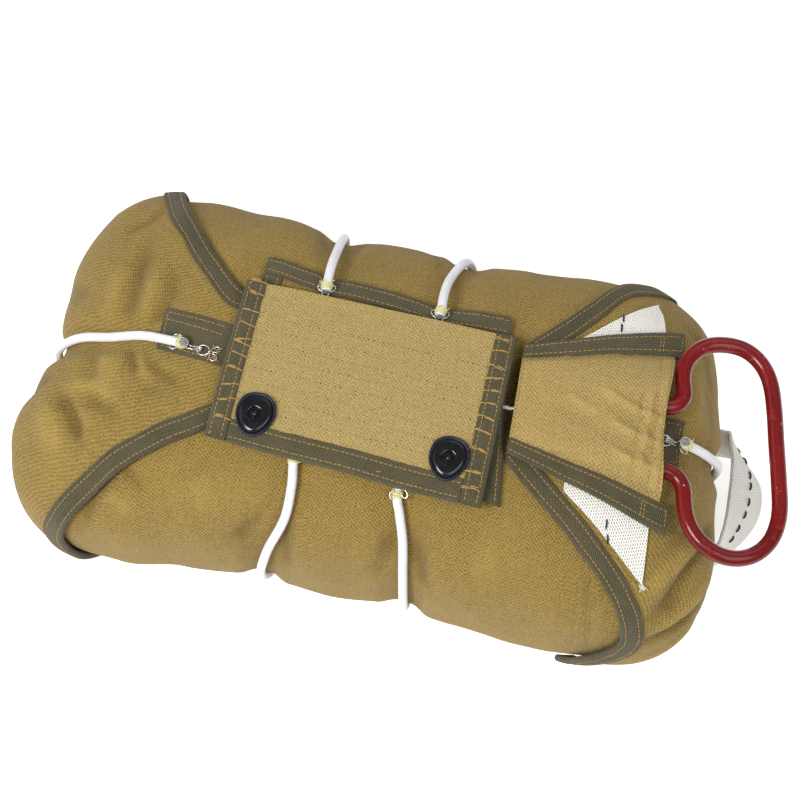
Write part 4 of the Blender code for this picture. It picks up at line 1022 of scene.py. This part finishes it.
class Flap:
    """End flap, by distance across it from its upper edge, on rows from the pack's top to its base."""

    def __init__(self, lines):
        upper, middle, lower = (smooth_line(line, FLAP_ROWS)[:, None] for line in lines)
        t = np.linspace(0, 1, 49)[:, None]
        guess = upper * (1 - t) * (1 - 2 * t) + middle * 4 * t * (1 - t) + lower * t * (2 * t - 1)
        self.points, _ = bare_skin(guess)
        self.lengths = running_length(self.points)
        self.length = self.lengths[:, -1]
        self.slant = np.ones((2, FLAP_ROWS))
        self.slant = [self.slants(end) for end in (0, 1)]

    def at(self, distances):
        """Points at distances along each row, one list of distances a row."""
        found = np.stack([read_line(*row) for row in zip(self.points, self.lengths, distances)])
        first = unit(self.points[:, 1] - self.points[:, 0])
        last = unit(self.points[:, -1] - self.points[:, -2])
        before = np.minimum(distances, 0)[..., None]
        beyond = np.maximum(distances - self.length[:, None], 0)[..., None]
        return found + before * first[:, None] + beyond * last[:, None]

    def edge(self, end, inset):
        """Points along the first or the last edge, at a distance in from it."""
        inset = inset * self.slant[end]
        return self.at((self.length - inset if end else inset)[:, None])[:, 0]

    def slants(self, end):
        edge = self.points[:, -end]
        run = unit(np.gradient(edge, axis=0))
        return 1 / np.maximum(0.55, np.linalg.norm(np.cross(run, unit(self.edge(end, 12.0) - edge)), axis=1))


def end_flap(side, lines, heap):
    flap = Flap(lines)
    first, last = TUCK * flap.slant[0], flap.length - TUCK * flap.slant[1]
    places = first[:, None] + (last - first)[:, None] * np.linspace(0, 1, 150)
    spots = Spots(flap.at(places))
    top = spots.at(SHEET + CLOTH / 2)
    rows = np.broadcast_to(running_length(top[:, 75])[:, None], places.shape)
    sheet = shell(f"{side}_end_canvas", top, spots.at(SHEET - CLOTH / 2), np.stack((places, rows), -1),
                  "end canvas", replaces=[f"{side}_end_flap"], tone=spots.tone)
    made = [tape(f"{side}_{edge}_binding_tape", f"{side}_flap_{edge}_binding",
                 lambda inset: Spots(flap.edge(end, inset)), 3 + end, heap, 5 + end)
            for end, edge in enumerate(("upper", "lower"))]


class Patch:
    """Four-sided piece in plan, read by shares along it and across it from its upper edge."""

    def __init__(self, corners):
        self.corners = np.array(corners, float)
        a, b, c, d = self.corners
        self.length = (np.linalg.norm(b - a) + np.linalg.norm(c - d)) / 2
        self.depth = (np.linalg.norm(d - a) + np.linalg.norm(c - b)) / 2

    def plan(self, along, across):
        a, b, c, d = self.corners
        along, across = np.asarray(along, float)[..., None], np.asarray(across, float)[..., None]
        upper = a + (b - a) * along
        lower = d + (c - d) * along
        return upper + (lower - upper) * across

    def at(self, along, across):
        place = self.plan(along, across)
        return above(place[..., 0], place[..., 1])

    def edge(self, side, places, inset):
        """Shares of places along an edge, at a distance in from it."""
        level = side in ("upper", "lower")
        share = inset / (self.depth if level else self.length)
        share = np.full_like(places, share if side in ("upper", "left") else 1 - share)
        return (places, share) if level else (share, places)

    def cloth(self, along, across):
        return np.stack((along * self.length, across * self.depth), -1)


def sagged(patch, along, across):
    """Places on the inner panel, whose upper edge sags between its corners."""
    sag = read_table(PANEL_SAG, along) / patch.depth * (1 - ease(across / 0.5))
    return patch.at(along, across + sag)


def inner_panel(heap):
    patch = Patch(INNER_PANEL)
    s, t = grid_of(np.linspace(TUCK / patch.length, 1 - TUCK / patch.length, 110),
                   np.linspace(TUCK / patch.depth, 1, 64))
    spots = Spots(sagged(patch, s, t))
    sheet = shell("inner_panel_canvas", spots.at(SHEET + CLOTH / 2), spots.at(SHEET - CLOTH / 2),
                  patch.cloth(s, t), "canvas", replaces=["inner_panel"], tone=spots.tone)
    gap = (WIDTH + 0.5) / patch.depth
    made = [tape(f"inner_panel_{name}_binding_tape", f"inner_panel_{name}_tape",
                 lambda inset: Spots(sagged(patch, *patch.edge(side, places, inset))), seed, heap, 20 + seed)
            for seed, (side, name, places) in enumerate((
                ("upper", "top", np.linspace(0, 1, 130)), ("left", "left", np.linspace(gap, 1, 50)),
                ("right", "right", np.linspace(gap, 1, 60))))]


def flap_lift(along):
    return FLAP_LEFT_LIFT + (FLAP_RIGHT_LIFT - FLAP_LEFT_LIFT) * along - LOW_LEG


def flap_spots(patch, along, across):
    """Spots of the centre flap, which bridges the cords below it."""
    spots = Spots(patch.at(along, across), draped=False)
    spots.rise = flap_lift(along) + 0.45 * ripple(spots.hit, 30, 5)
    return spots


def centre_flap(heap):
    patch = Patch(CENTRE_FLAP)
    s, t = grid_of(np.linspace(TUCK / patch.length, 1 - TUCK / patch.length, 130),
                   np.linspace(0, 1 - TUCK / patch.depth, 84))
    spots = flap_spots(patch, s, t)
    thick = CLOTH / 2 + 0.5 * ease(1 - t * patch.depth / 7)
    sheet = shell("centre_flap_canvas", spots.at(SHEET + thick), spots.at(SHEET - CLOTH / 2),
                  patch.cloth(s, t), "quilted canvas", replaces=["centre_flap"])
    gap = (WIDTH + 0.5) / patch.length
    for seed, (side, name, places) in enumerate((
            ("left", "left", np.linspace(0, 1, 90)), ("right", "right", np.linspace(0, 1, 90)),
            ("lower", "bottom", np.linspace(gap, 1 - gap, 120)))):
        def place(inset):
            return flap_spots(patch, *patch.edge(side, places, inset))
        tape(f"centre_flap_{name}_binding_tape", f"centre_flap_{name}_tape", place, 30 + seed,
                         heap, 40 + seed)
        if side != "lower":
            bars(heap, place, side)
    knots(heap, patch)
    return patch


def bars(heap, place, side):
    """Stitched bars across a tape of the centre flap, like the rungs of a ladder."""
    inner, outer, middle = place(12.6), place(2.2).at(4.45), place(6.0).at(4.75)
    ends = inner.at(4.2)
    last = len(ends) - 1
    chance = np.random.default_rng(11 if side == "left" else 12)
    for share in BAR_PLACES[side]:
        k = int(share * last)
        far = min(last, max(0, k + int(chance.integers(-2, 3))))
        line = smooth_line([outer[far], middle[(k + far) // 2], ends[k]], 12)
        normal = np.broadcast_to(inner.normal[k], line.shape)
        across = unit(np.cross(line[-1] - line[0], inner.normal[k]))
        for turn in range(3):
            heap.stitches(line + across * chance.uniform(-0.55, 0.55), normal, size=4.6, pitch=5.0,
                          radius=0.33, start=0.2 + 0.5 * turn, seed=int(share * 1000) + turn, sway=0.4,
                          rise=0.3)


def knots(heap, patch):
    """Extra turns of thread where the flap's seams end."""
    chance = np.random.default_rng(5)
    for knot in FLAP_KNOTS:
        for _ in range(3):
            ends = np.clip(knot + chance.uniform(-0.02, 0.02, (2, 2)), 0.008, 0.992)
            spots = flap_spots(patch, np.linspace(*ends[:, 0], 6), np.linspace(*ends[:, 1], 6))
            heap.stitches(spots.at(4.55), spots.normal, size=2.4, pitch=3, radius=0.25, start=0.1, seed=3)


def pocket_spots(patch, along, across):
    """Spots of the pocket, low at its two tapes and raised over the handle between them."""
    wide = WIDTH / patch.depth
    inner = np.clip((across - wide) / (1 - 2 * wide), 0, 1)
    spots = Spots(patch.at(along, across), draped=False)
    low = spots.hit + spots.normal * (POCKET_EDGE_LIFT - LOW_LEG + SHEET)
    high = low.copy()
    high[..., 2] = np.maximum(low[..., 2], read_table(POCKET_TOP, low[..., 0]))
    share = np.minimum(1, np.minimum(inner / POCKET_UPPER_SLOPE, (1 - inner) / POCKET_LOWER_SLOPE))
    spots.hit = low + (high - low) * np.sin(math.pi / 2 * share)[..., None]
    spots.normal = unit(spots.normal + np.array([0, 0, 1.0]))
    plan = patch.plan(along, across)
    crease = 0.0
    for size, width, *line in POCKET_FOLDS:
        best, spot = nearest(plan, plan_line(line, 10)[:, :2])
        crease = crease + size * np.exp(-(best / width) ** 2) * ease(spot / 0.25) * ease((1 - spot) / 0.25)
    crease = np.maximum(crease, -0.5) + 0.3 * ripple(spots.hit, 16, 7) + 1.0
    for line, _ in HEM_LINES:
        crease -= 0.45 * np.exp(-((along - line) / 0.009) ** 2)
    crease += 0.5 * ease((along - HEM_START) / 0.012)
    # The crease also becomes tone: painted light over the raised pocket, more on its ridges and hem, less in
    # its creases and stitched lines
    spots.rise = spots.tone = crease * (ease(inner / 0.06) * ease((1 - inner) / 0.06))
    return spots


def mouth_dip(across):
    """How much shorter the pocket is in its middle, as a share of its length."""
    return 0.026 * np.exp(-((across - 0.5) / 0.2) ** 2)


def pocket(heap):
    """Ripcord pocket: its sheet, tapes, short rows of tacking and hems."""
    patch = Patch(POCKET)
    wide, tuck = WIDTH / patch.depth, TUCK / patch.depth
    s, t = grid_of(np.linspace(0, 1, 150), np.linspace(tuck, 1 - tuck, 110))
    s = s * (POCKET_MOUTH - mouth_dip(t))
    spots = pocket_spots(patch, s, t)
    thick = CLOTH / 2 + 0.35 * ease((s - HEM_START) / 0.01)
    sheet = shell("pocket_canvas", spots.at(thick), spots.at(-CLOTH / 2), patch.plan(s, t), "flap canvas",
                  replaces=["ripcord_pocket"], tone=spots.tone)
    base = POCKET_EDGE_LIFT - LOW_LEG
    for seed, side in enumerate(("upper", "lower")):
        def place(inset):
            found = Spots(patch.at(*patch.edge(side, np.linspace(0, 1, 100), inset)), draped=False)
            found.rise += base
            return found
        tape(f"pocket_{side}_binding_tape", f"pocket_{side}_tape", place, 50 + seed, heap,
                         60 + seed)
        for share in POCKET_TACKS:
            line = [patch.at(*patch.edge(side, np.array(share), inset)) for inset in np.linspace(2, 9.5, 6)]
            found = Spots(line, draped=False)
            heap.stitches(found.at(base + 4.5), found.normal, seed=70 + seed, pitch=2.3, size=1.7)
    for share, tall in HEM_LINES:
        across = np.linspace(wide + 0.01, 1 - wide - 0.01, 80)
        found = pocket_spots(patch, share - mouth_dip(across) * (share > 0.9), across)
        heap.stitches(found.at(CLOTH / 2 + tall + 0.1), found.normal, seed=80, pitch=2.5, size=1.8,
                      radius=0.26, sway=0.4, rise=0.3)


def tab(side, corners, heap):
    """Anchor tab, with its seams."""
    patch = Patch(corners)
    lift = SHEET + CLOTH + 0.35
    s, t = grid_of(np.linspace(0, 1, 40), np.linspace(0, 1, 36))
    spots = Spots(patch.at(s, t))
    shell(f"{side}_anchor_tab", spots.at(lift + CLOTH / 2), spots.at(lift - CLOTH / 2), patch.cloth(s, t),
          "olive tape", replaces=[f"{side}_tab"])
    for k, (s0, s1, t0, t1) in enumerate((*TAB_SEAMS, TAB_ENDS[side])):
        found = Spots(patch.at(np.linspace(s0, s1, 40), np.linspace(t0, t1, 40)))
        heap.stitches(found.at(lift + CLOTH / 2 + 0.05), found.normal, seed=90 + k)


def reinforcement(black, white):
    """Webbing over the right end flap, with its black seams and a frayed corner."""
    lefts, rights = plan_line(BAND_LEFT, 90)[:, None], plan_line(BAND_RIGHT, 90)[:, None]
    plan = lefts + (rights - lefts) * np.linspace(0, 1, 36)[:, None]
    spots = Spots(above(plan[..., 0], plan[..., 1]))
    lift = SHEET + CLOTH + 0.65
    shell("reinforcing_band", spots.at(lift + CLOTH / 2), spots.at(lift - CLOTH / 2), plan[..., 1::-1],
          "cream webbing", replaces=["reinforcing_webbing"])
    for seed, line in enumerate(BLACK_SEAMS):
        line = plan_line(line, 40)
        found = Spots(above(line[:, 0], line[:, 1]))
        black.stitches(found.at(lift + CLOTH / 2 + 0.1), found.normal, size=5.4, pitch=7.2, radius=0.55,
                       seed=seed, sway=0.6, rise=0.45)
    chance = np.random.default_rng(8)
    start = Spots(above(np.array([154.0]), np.array([-69.5]))).at(lift)[0]
    for _ in range(9):
        reach = chance.uniform(2, 6)
        way = unit(np.array([chance.uniform(-0.2, 1), chance.uniform(-1, -0.2), 0]))
        line = [start + chance.uniform(-1.5, 1.5, 3),
                start + way * reach * 0.5 + chance.uniform(-0.6, 0.6, 3),
                start + way * reach - np.array([0, 0, 1.0])]
        white.tube(smooth_line(line, 8), 0.22, 5)


def carrying_loop(black):
    """Webbing band on the right end, which leans outwards and goes under at both ends."""
    count = 90
    table = smooth_line(LOOP, count)
    route, lean = table * (1, 1, 0), table[:, 2]
    run = unit(np.gradient(route, axis=0))
    out = np.column_stack((run[:, 1], -run[:, 0], np.zeros(count)))
    if ((route - route.mean(axis=0)) * out).sum() < 0:
        out = -out
    face = LOOP_THICK / 2 - 0.25
    shares = np.linspace(-1, 1, 26)
    bulge = 0.25 * np.sin(np.linspace(0, 6 * np.pi, 26)) ** 2
    outline = [*zip(shares, face + bulge), (1.02, 0.0),
               *zip(shares[::-1], -face - bulge[::-1]), (-1.02, 0.0)]
    wave = np.array([noise.noise(Vector((k * 0.05, 2, 0))) for k in range(count)])
    free = wave * ease(np.minimum(np.arange(count), np.arange(count)[::-1]) / 14)
    rise = np.sqrt(LOOP_WIDE ** 2 - lean ** 2) / 2
    rings = np.zeros((count, len(outline), 3))
    for k, (share, push) in enumerate(outline):
        rings[:, k] = route + out * (push + free * 0.6)[:, None]
        rings[:, k, 0] -= lean / 2 * share
        rings[:, k, 2] = LOOP_MIDDLE + rise * share + push * lean / LOOP_WIDE + free * 0.8
    pushes = np.array(outline)[:, 1]
    for rows in (range(10), range(count - 1, count - 11, -1)):
        for step, k in enumerate(rows):
            share = ease(step / 9)
            rings[k] = Spots(rings[k]).at(4.4 + pushes) * (1 - share) + rings[k] * share
    edge = running_length(np.array([(LOOP_WIDE / 2 * share, push, 0) for share, push in outline]))
    sweep("carrying_loop_band", rings, cloth_map(running_length(route), edge), "cream webbing",
          replaces=["carrying_loop"])
    face = unit(np.cross(rings[:, 14] - rings[:, 12], np.gradient(rings[:, 13], axis=0)))
    if (face * out).sum() < 0:
        face = -face
    black.stitches(rings[8:-8, 11] + face[8:-8] * 0.3, face[8:-8], size=4.8, pitch=8.2, radius=0.6, seed=4,
                   sway=0.5, rise=0.45)


def ripcord():
    """The handle's rod, read evenly once round from its first knot, and its cable."""
    knots = [(*point, 0) for point in HANDLE]
    dense = smooth_line(knots[-3:] + knots + knots[:3], 1200)
    away = np.linalg.norm(dense - knots[0], axis=1)
    loop = dense[int(np.argmin(away[:180])):1020 + int(np.argmin(away[1020:]))]
    picks = loop[np.linspace(0, len(loop), 340, endpoint=False).astype(int)]
    for _ in range(6):
        picks = (np.roll(picks, 1, axis=0) + 2 * picks + np.roll(picks, -1, axis=0)) / 4
    picks[:, 2] = HANDLE_Z - math.tan(HANDLE_PITCH) * (picks[:, 0] - HANDLE_X)
    rod, cable = Heap(), Heap()
    rod.tube(picks, ROD_RADIUS, 24, closed=True)
    rod.piece("ripcord_handle_rod", "red enamel", body="ripcord", replaces=["ripcord_handle"])
    cable.tube(smooth_line(CABLE, 60), CABLE_RADIUS, 14)
    cable.piece("ripcord_cable_wire", "cable steel", body="ripcord", replaces=["ripcord_cable"])


def cord(name, rows, count, turned, core):
    """Elastic of a cord, its ends turned up where they are tied to an eye."""
    centres, normal, _ = cord_line(rows, count * 5)
    for way in (1, -1) if turned else ():
        line, ups = centres[::way], normal[::way]
        kept = running_length(line) > BEND_TRIM
        line, ups = line[kept], ups[kept]
        out = unit(line[0] - line[1])
        up = unit(ups[0] - out * (ups[0] @ out))
        arc = [line[0] + BEND_RADIUS * (math.sin(a) * out + (1 - math.cos(a)) * up)
               for a in np.radians(np.linspace(0, BEND_ANGLE, 9)[1:])]
        centres = np.concatenate((arc[::-1], line))[::way]
        normal = np.concatenate((np.repeat(ups[:1], len(arc), axis=0), ups))[::way]
    heap = Heap()
    heap.tube(centres, CORD_RADIUS, 18)
    heap.piece(f"{name}_elastic", "white elastic", replaces=[f"{name}_cord"])
    for line in (centres, centres[::-1]):
        tip = unit(line[0] - line[1])
        disc = [line[0] - tip * 0.3, line[0] + tip * 0.02, line[0] + tip * 0.3]
        core.tube(disc, [0.94 * CORD_RADIUS, 0.94 * CORD_RADIUS, 0.76 * CORD_RADIUS], 18)
    return centres, normal


def whip(name, node, centres, normal):
    """Thread wound round a cord's end, with crossing turns and loose ends."""
    chance = np.random.default_rng(len(name))
    length = running_length(centres)
    heap = Heap()

    def frame(at):
        spot = read_line(centres, length, at)
        run = unit(read_line(centres, length, at + 0.3) - spot)
        up = unit(read_line(normal, length, at))
        up = unit(up - run * (up @ run))
        return spot, run, up, np.cross(run, up)
    for first, last, turns, phase in WHIP_TURNS:
        line = []
        for step in range(int(turns * 14)):
            t = step / (turns * 14)
            angle = 2 * math.pi * turns * t + phase
            spot, run, up, side = frame(first + (last - first) * t)
            radius = CORD_RADIUS + 0.32 + 0.2 * math.sin(3.1 * angle + phase)
            line.append(spot + radius * (math.cos(angle) * up + math.sin(angle) * side)
                        + run * 0.25 * math.sin(2.3 * angle))
        heap.tube(line, 0.4, 6)
    for _ in range(7):
        spot, run, up, side = frame(chance.uniform(1.8, 5.0))
        angle = chance.uniform(-1.3, 1.3)
        way = math.cos(angle) * up + math.sin(angle) * side
        reach = chance.uniform(1.2, 3.0)
        start = spot + way * CORD_RADIUS
        bend = run * chance.uniform(-1.8, 1.8) + side * chance.uniform(-1.2, 1.2)
        line = [start, start + way * reach * 0.6 + bend * 0.4, start + way * reach * 0.8 + bend]
        heap.tube(smooth_line(line, 8), 0.24, 5)
    heap.piece(f"{name}_wound_thread", "pale thread", replaces=[node])


def wire(name, node, origin, out, path, lift):
    """Wire through points along, beside and above the layers of cloth at a place."""
    up = bare_skin(origin[None])[1][0]
    out = unit(out - up * (out @ up))
    side = np.cross(up, out)
    path = smooth_line(path, 6 * len(path))
    spots = Spots(origin + out * path[:, :1] + side * path[:, 1:2])
    heap = Heap()
    heap.tube(spots.at(lift + 0.15 + WIRE_RADIUS + path[:, 2]), WIRE_RADIUS, 8)
    heap.piece(name, "bright wire", replaces=[node])
    return spots


def cords():
    """The elastic cords, with what is wound round, hooked on and sewn to their ends."""
    core, sewn = Heap(), Heap()
    for name, rows, count, ends in CORDS:
        tied = name == "lengthwise"
        height = SHEET + 1.5 * CLOTH + 0.35 if tied else SHEET + CLOTH / 2
        plain, _, _ = cord_line(rows, count)
        centres, normal = cord(name, rows, count, tied, core)
        for end, way in zip(ends, (1, -1)):
            reach, start, ring = EAR_REACH[f"{name}_{end}"]
            bare = plain[::way]
            whip(f"{name}_{end}", f"{name}_{end}_whipping", centres[::way], normal[::way])
            out = unit(bare[0] - bare[1])
            hook = np.array(HOOK)
            ears = ease((0.6 - hook[:, 0]) / 1.5)
            hook[:, 0] -= reach * ears
            hook[:, 1] *= 1 - 0.12 * ears
            hook[:, 2] += EAR_RISE * ears
            wire(f"{name}_{end}_wire_hook", f"{name}_{end}_hook", bare[0] + out * start, out, hook, height)
            if tied:
                eye = wire(f"{end}_wire_eye", f"{end}_eye", bare[0] + out * ring, -out, EYE, height)
                sew(sewn, eye.at(height + 1.0), eye.normal)
    core.piece("elastic_cut_ends", "elastic core")
    sewn.piece("eye_sewing_thread", "golden thread")


def sew(heap, points, normal):
    """Turns of thread over an eye's wire."""
    last = len(points) - 1
    for share in EYE_TURNS:
        k = int(share * last)
        up = normal[k]
        side = np.cross(unit(points[min(k + 2, last)] - points[max(k - 2, 0)]), up)
        heap.tube([points[k] + side * math.cos(a) * 1.5 + up * (math.sin(a) * 0.85 - 0.45)
                   for a in np.linspace(-0.2, math.pi + 0.2, 9)], 0.3, 6)


def fastener(side, x, y, patch):
    """Snap fastener, turned to its own uneven outline."""
    hit, normal = bare_skin(above(np.array([x]), np.array([y])))
    seat = HIGH_LEG + TAPE / 2 + 0.35 + flap_lift((x - CENTRE_FLAP[0][0]) / patch.length)
    up = normal[0]
    along = unit(np.array([1.0, 0, 0]) - up * up[0])
    across = np.cross(up, along)
    count, even = 60, 11.0
    angles = np.radians(np.linspace(0, 360, count, endpoint=False))
    wide = np.interp(np.degrees(angles), *np.transpose(SNAP_OUTLINE))
    for _ in range(3):
        wide = (np.roll(wide, 1) + 2 * wide + np.roll(wide, -1)) / 4

    def lathe(name, look, profile, replaces, blend=0.45):
        rings = []
        for share, height in profile:
            mixed = ease((share - 0.3) / blend)
            radius = share * (wide * mixed + even * (1 - mixed))
            flat = np.cos(angles)[:, None] * along + np.sin(angles)[:, None] * across
            rings.append(hit[0] + up * (seat + height) + flat * radius[:, None])
        last = (len(profile) - 1) * count
        faces = [*grid_faces(len(profile), count, wrap=True), range(count - 1, -1, -1),
                 range(last, last + count)]
        cloth = cloth_map(np.arange(len(profile)), np.degrees(angles) / 10)
        made = piece(name, np.concatenate(rings), faces, look, cloth, replaces=replaces, sharp=45)
        weld(made)
        made.data.set_sharp_from_angle(angle=math.radians(45))

    lathe(f"{side}_snap_flange", "blued flange", SNAP_FLANGE, [f"{side}_snap_socket"])
    lathe(f"{side}_snap_plate", "black enamel", SNAP_PLATE, [])
    ball = [(BALL_RADIUS * math.sin(a) / even, 1.5 - BALL_RADIUS * math.cos(a))
            for a in np.linspace(0.5, math.pi - 0.02, 14)]
    lathe(f"{side}_snap_ball", "black enamel", ball, [f"{side}_snap_stud"], blend=9)


def studio():
    """Stage, lights and camera."""
    scene = bpy.context.scene
    scene.view_settings.view_transform = "Standard"
    scene.world = bpy.data.worlds.new("studio")
    scene.world.use_nodes = True
    background = scene.world.node_tree.nodes["Background"]
    background.inputs[0].default_value = (1.0, 1.0, 1.0, 1)
    background.inputs[1].default_value = WORLD_LIGHT

    mesh = bpy.data.meshes.new("floor")
    mesh.from_pydata([(x * 4.0, y * 4.0, 0) for x, y in ((-1, -1), (1, -1), (1, 1), (-1, 1))], [],
                     [(0, 1, 2, 3)])
    floor = bpy.data.objects.new("floor", mesh)
    floor.location.z = -0.0005
    scene.collection.objects.link(floor)
    white = bpy.data.materials.new("studio floor")
    white.use_nodes = True
    shader = white.node_tree.nodes["Principled BSDF"]
    for name, value in (("Base Color", (0.9, 0.9, 0.9, 1)), ("Roughness", 1.0), ("Specular IOR Level", 0.0),
                        ("Emission Color", (1, 1, 1, 1)), ("Emission Strength", FLOOR_GLOW)):
        shader.inputs[name].default_value = value
    mesh.materials.append(white)

    for name, place, size, power in LIGHTS:
        light = bpy.data.lights.new(name, "AREA")
        light.shape = "SQUARE"
        light.size = size
        light.energy = power
        lamp = bpy.data.objects.new(name, light)
        lamp.location = place
        lamp.rotation_euler = (Vector(AIM) - Vector(place)).to_track_quat("-Z", "Y").to_euler()
        scene.collection.objects.link(lamp)

    azimuth, elevation = map(math.radians, VIEW)
    right = Vector((math.cos(azimuth), math.sin(azimuth), 0))
    back = Vector((math.sin(azimuth) * math.cos(elevation), -math.cos(azimuth) * math.cos(elevation),
                   math.sin(elevation)))
    aim = Vector(AIM) + right * AIM_SHIFT[0] + back.cross(right) * AIM_SHIFT[1]
    lens = bpy.data.cameras.new("camera")
    lens.sensor_width = SENSOR
    lens.lens = SENSOR * VIEW_DISTANCE / VIEW_WIDTH
    lens.clip_end = 20
    camera = bpy.data.objects.new("camera", lens)
    camera.location = aim + back * VIEW_DISTANCE
    camera.rotation_euler = back.to_track_quat("Z", "Y").to_euler()
    scene.collection.objects.link(camera)
    scene.camera = camera


def main():
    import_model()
    LOOKS.update(make_looks())
    valleys.lay()
    drawn_folds.lay()
    golden, dull, black, white = Heap(), Heap(), Heap(), Heap()
    packed_body()
    end_flap("left", (LEFT_UPPER, LEFT_MIDDLE, LEFT_LOWER), golden)
    end_flap("right", (RIGHT_UPPER, RIGHT_MIDDLE, RIGHT_LOWER), golden)
    tab("left", LEFT_TAB, golden)
    tab("right", RIGHT_TAB, golden)
    reinforcement(black, white)
    inner_panel(golden)
    patch = centre_flap(golden)
    for side, x, y in FASTENERS:
        fastener(side, x, y, patch)
    pocket(golden)
    carrying_loop(black)
    for seed, line in enumerate(SEAMS):
        found = Spots(smooth_line(line, 60))
        dull.stitches(found.at(SHEET + CLOTH / 2 + 0.02), found.normal, seed=seed, pitch=2.7, size=1.8,
                      radius=0.17, rise=0.14)
    ripcord()
    cords()
    golden.piece("golden_stitching", "golden thread")
    dull.piece("canvas_stitching", "canvas thread")
    black.piece("black_stitching", "black thread")
    white.piece("frayed_threads", "white thread")
    studio()


main()
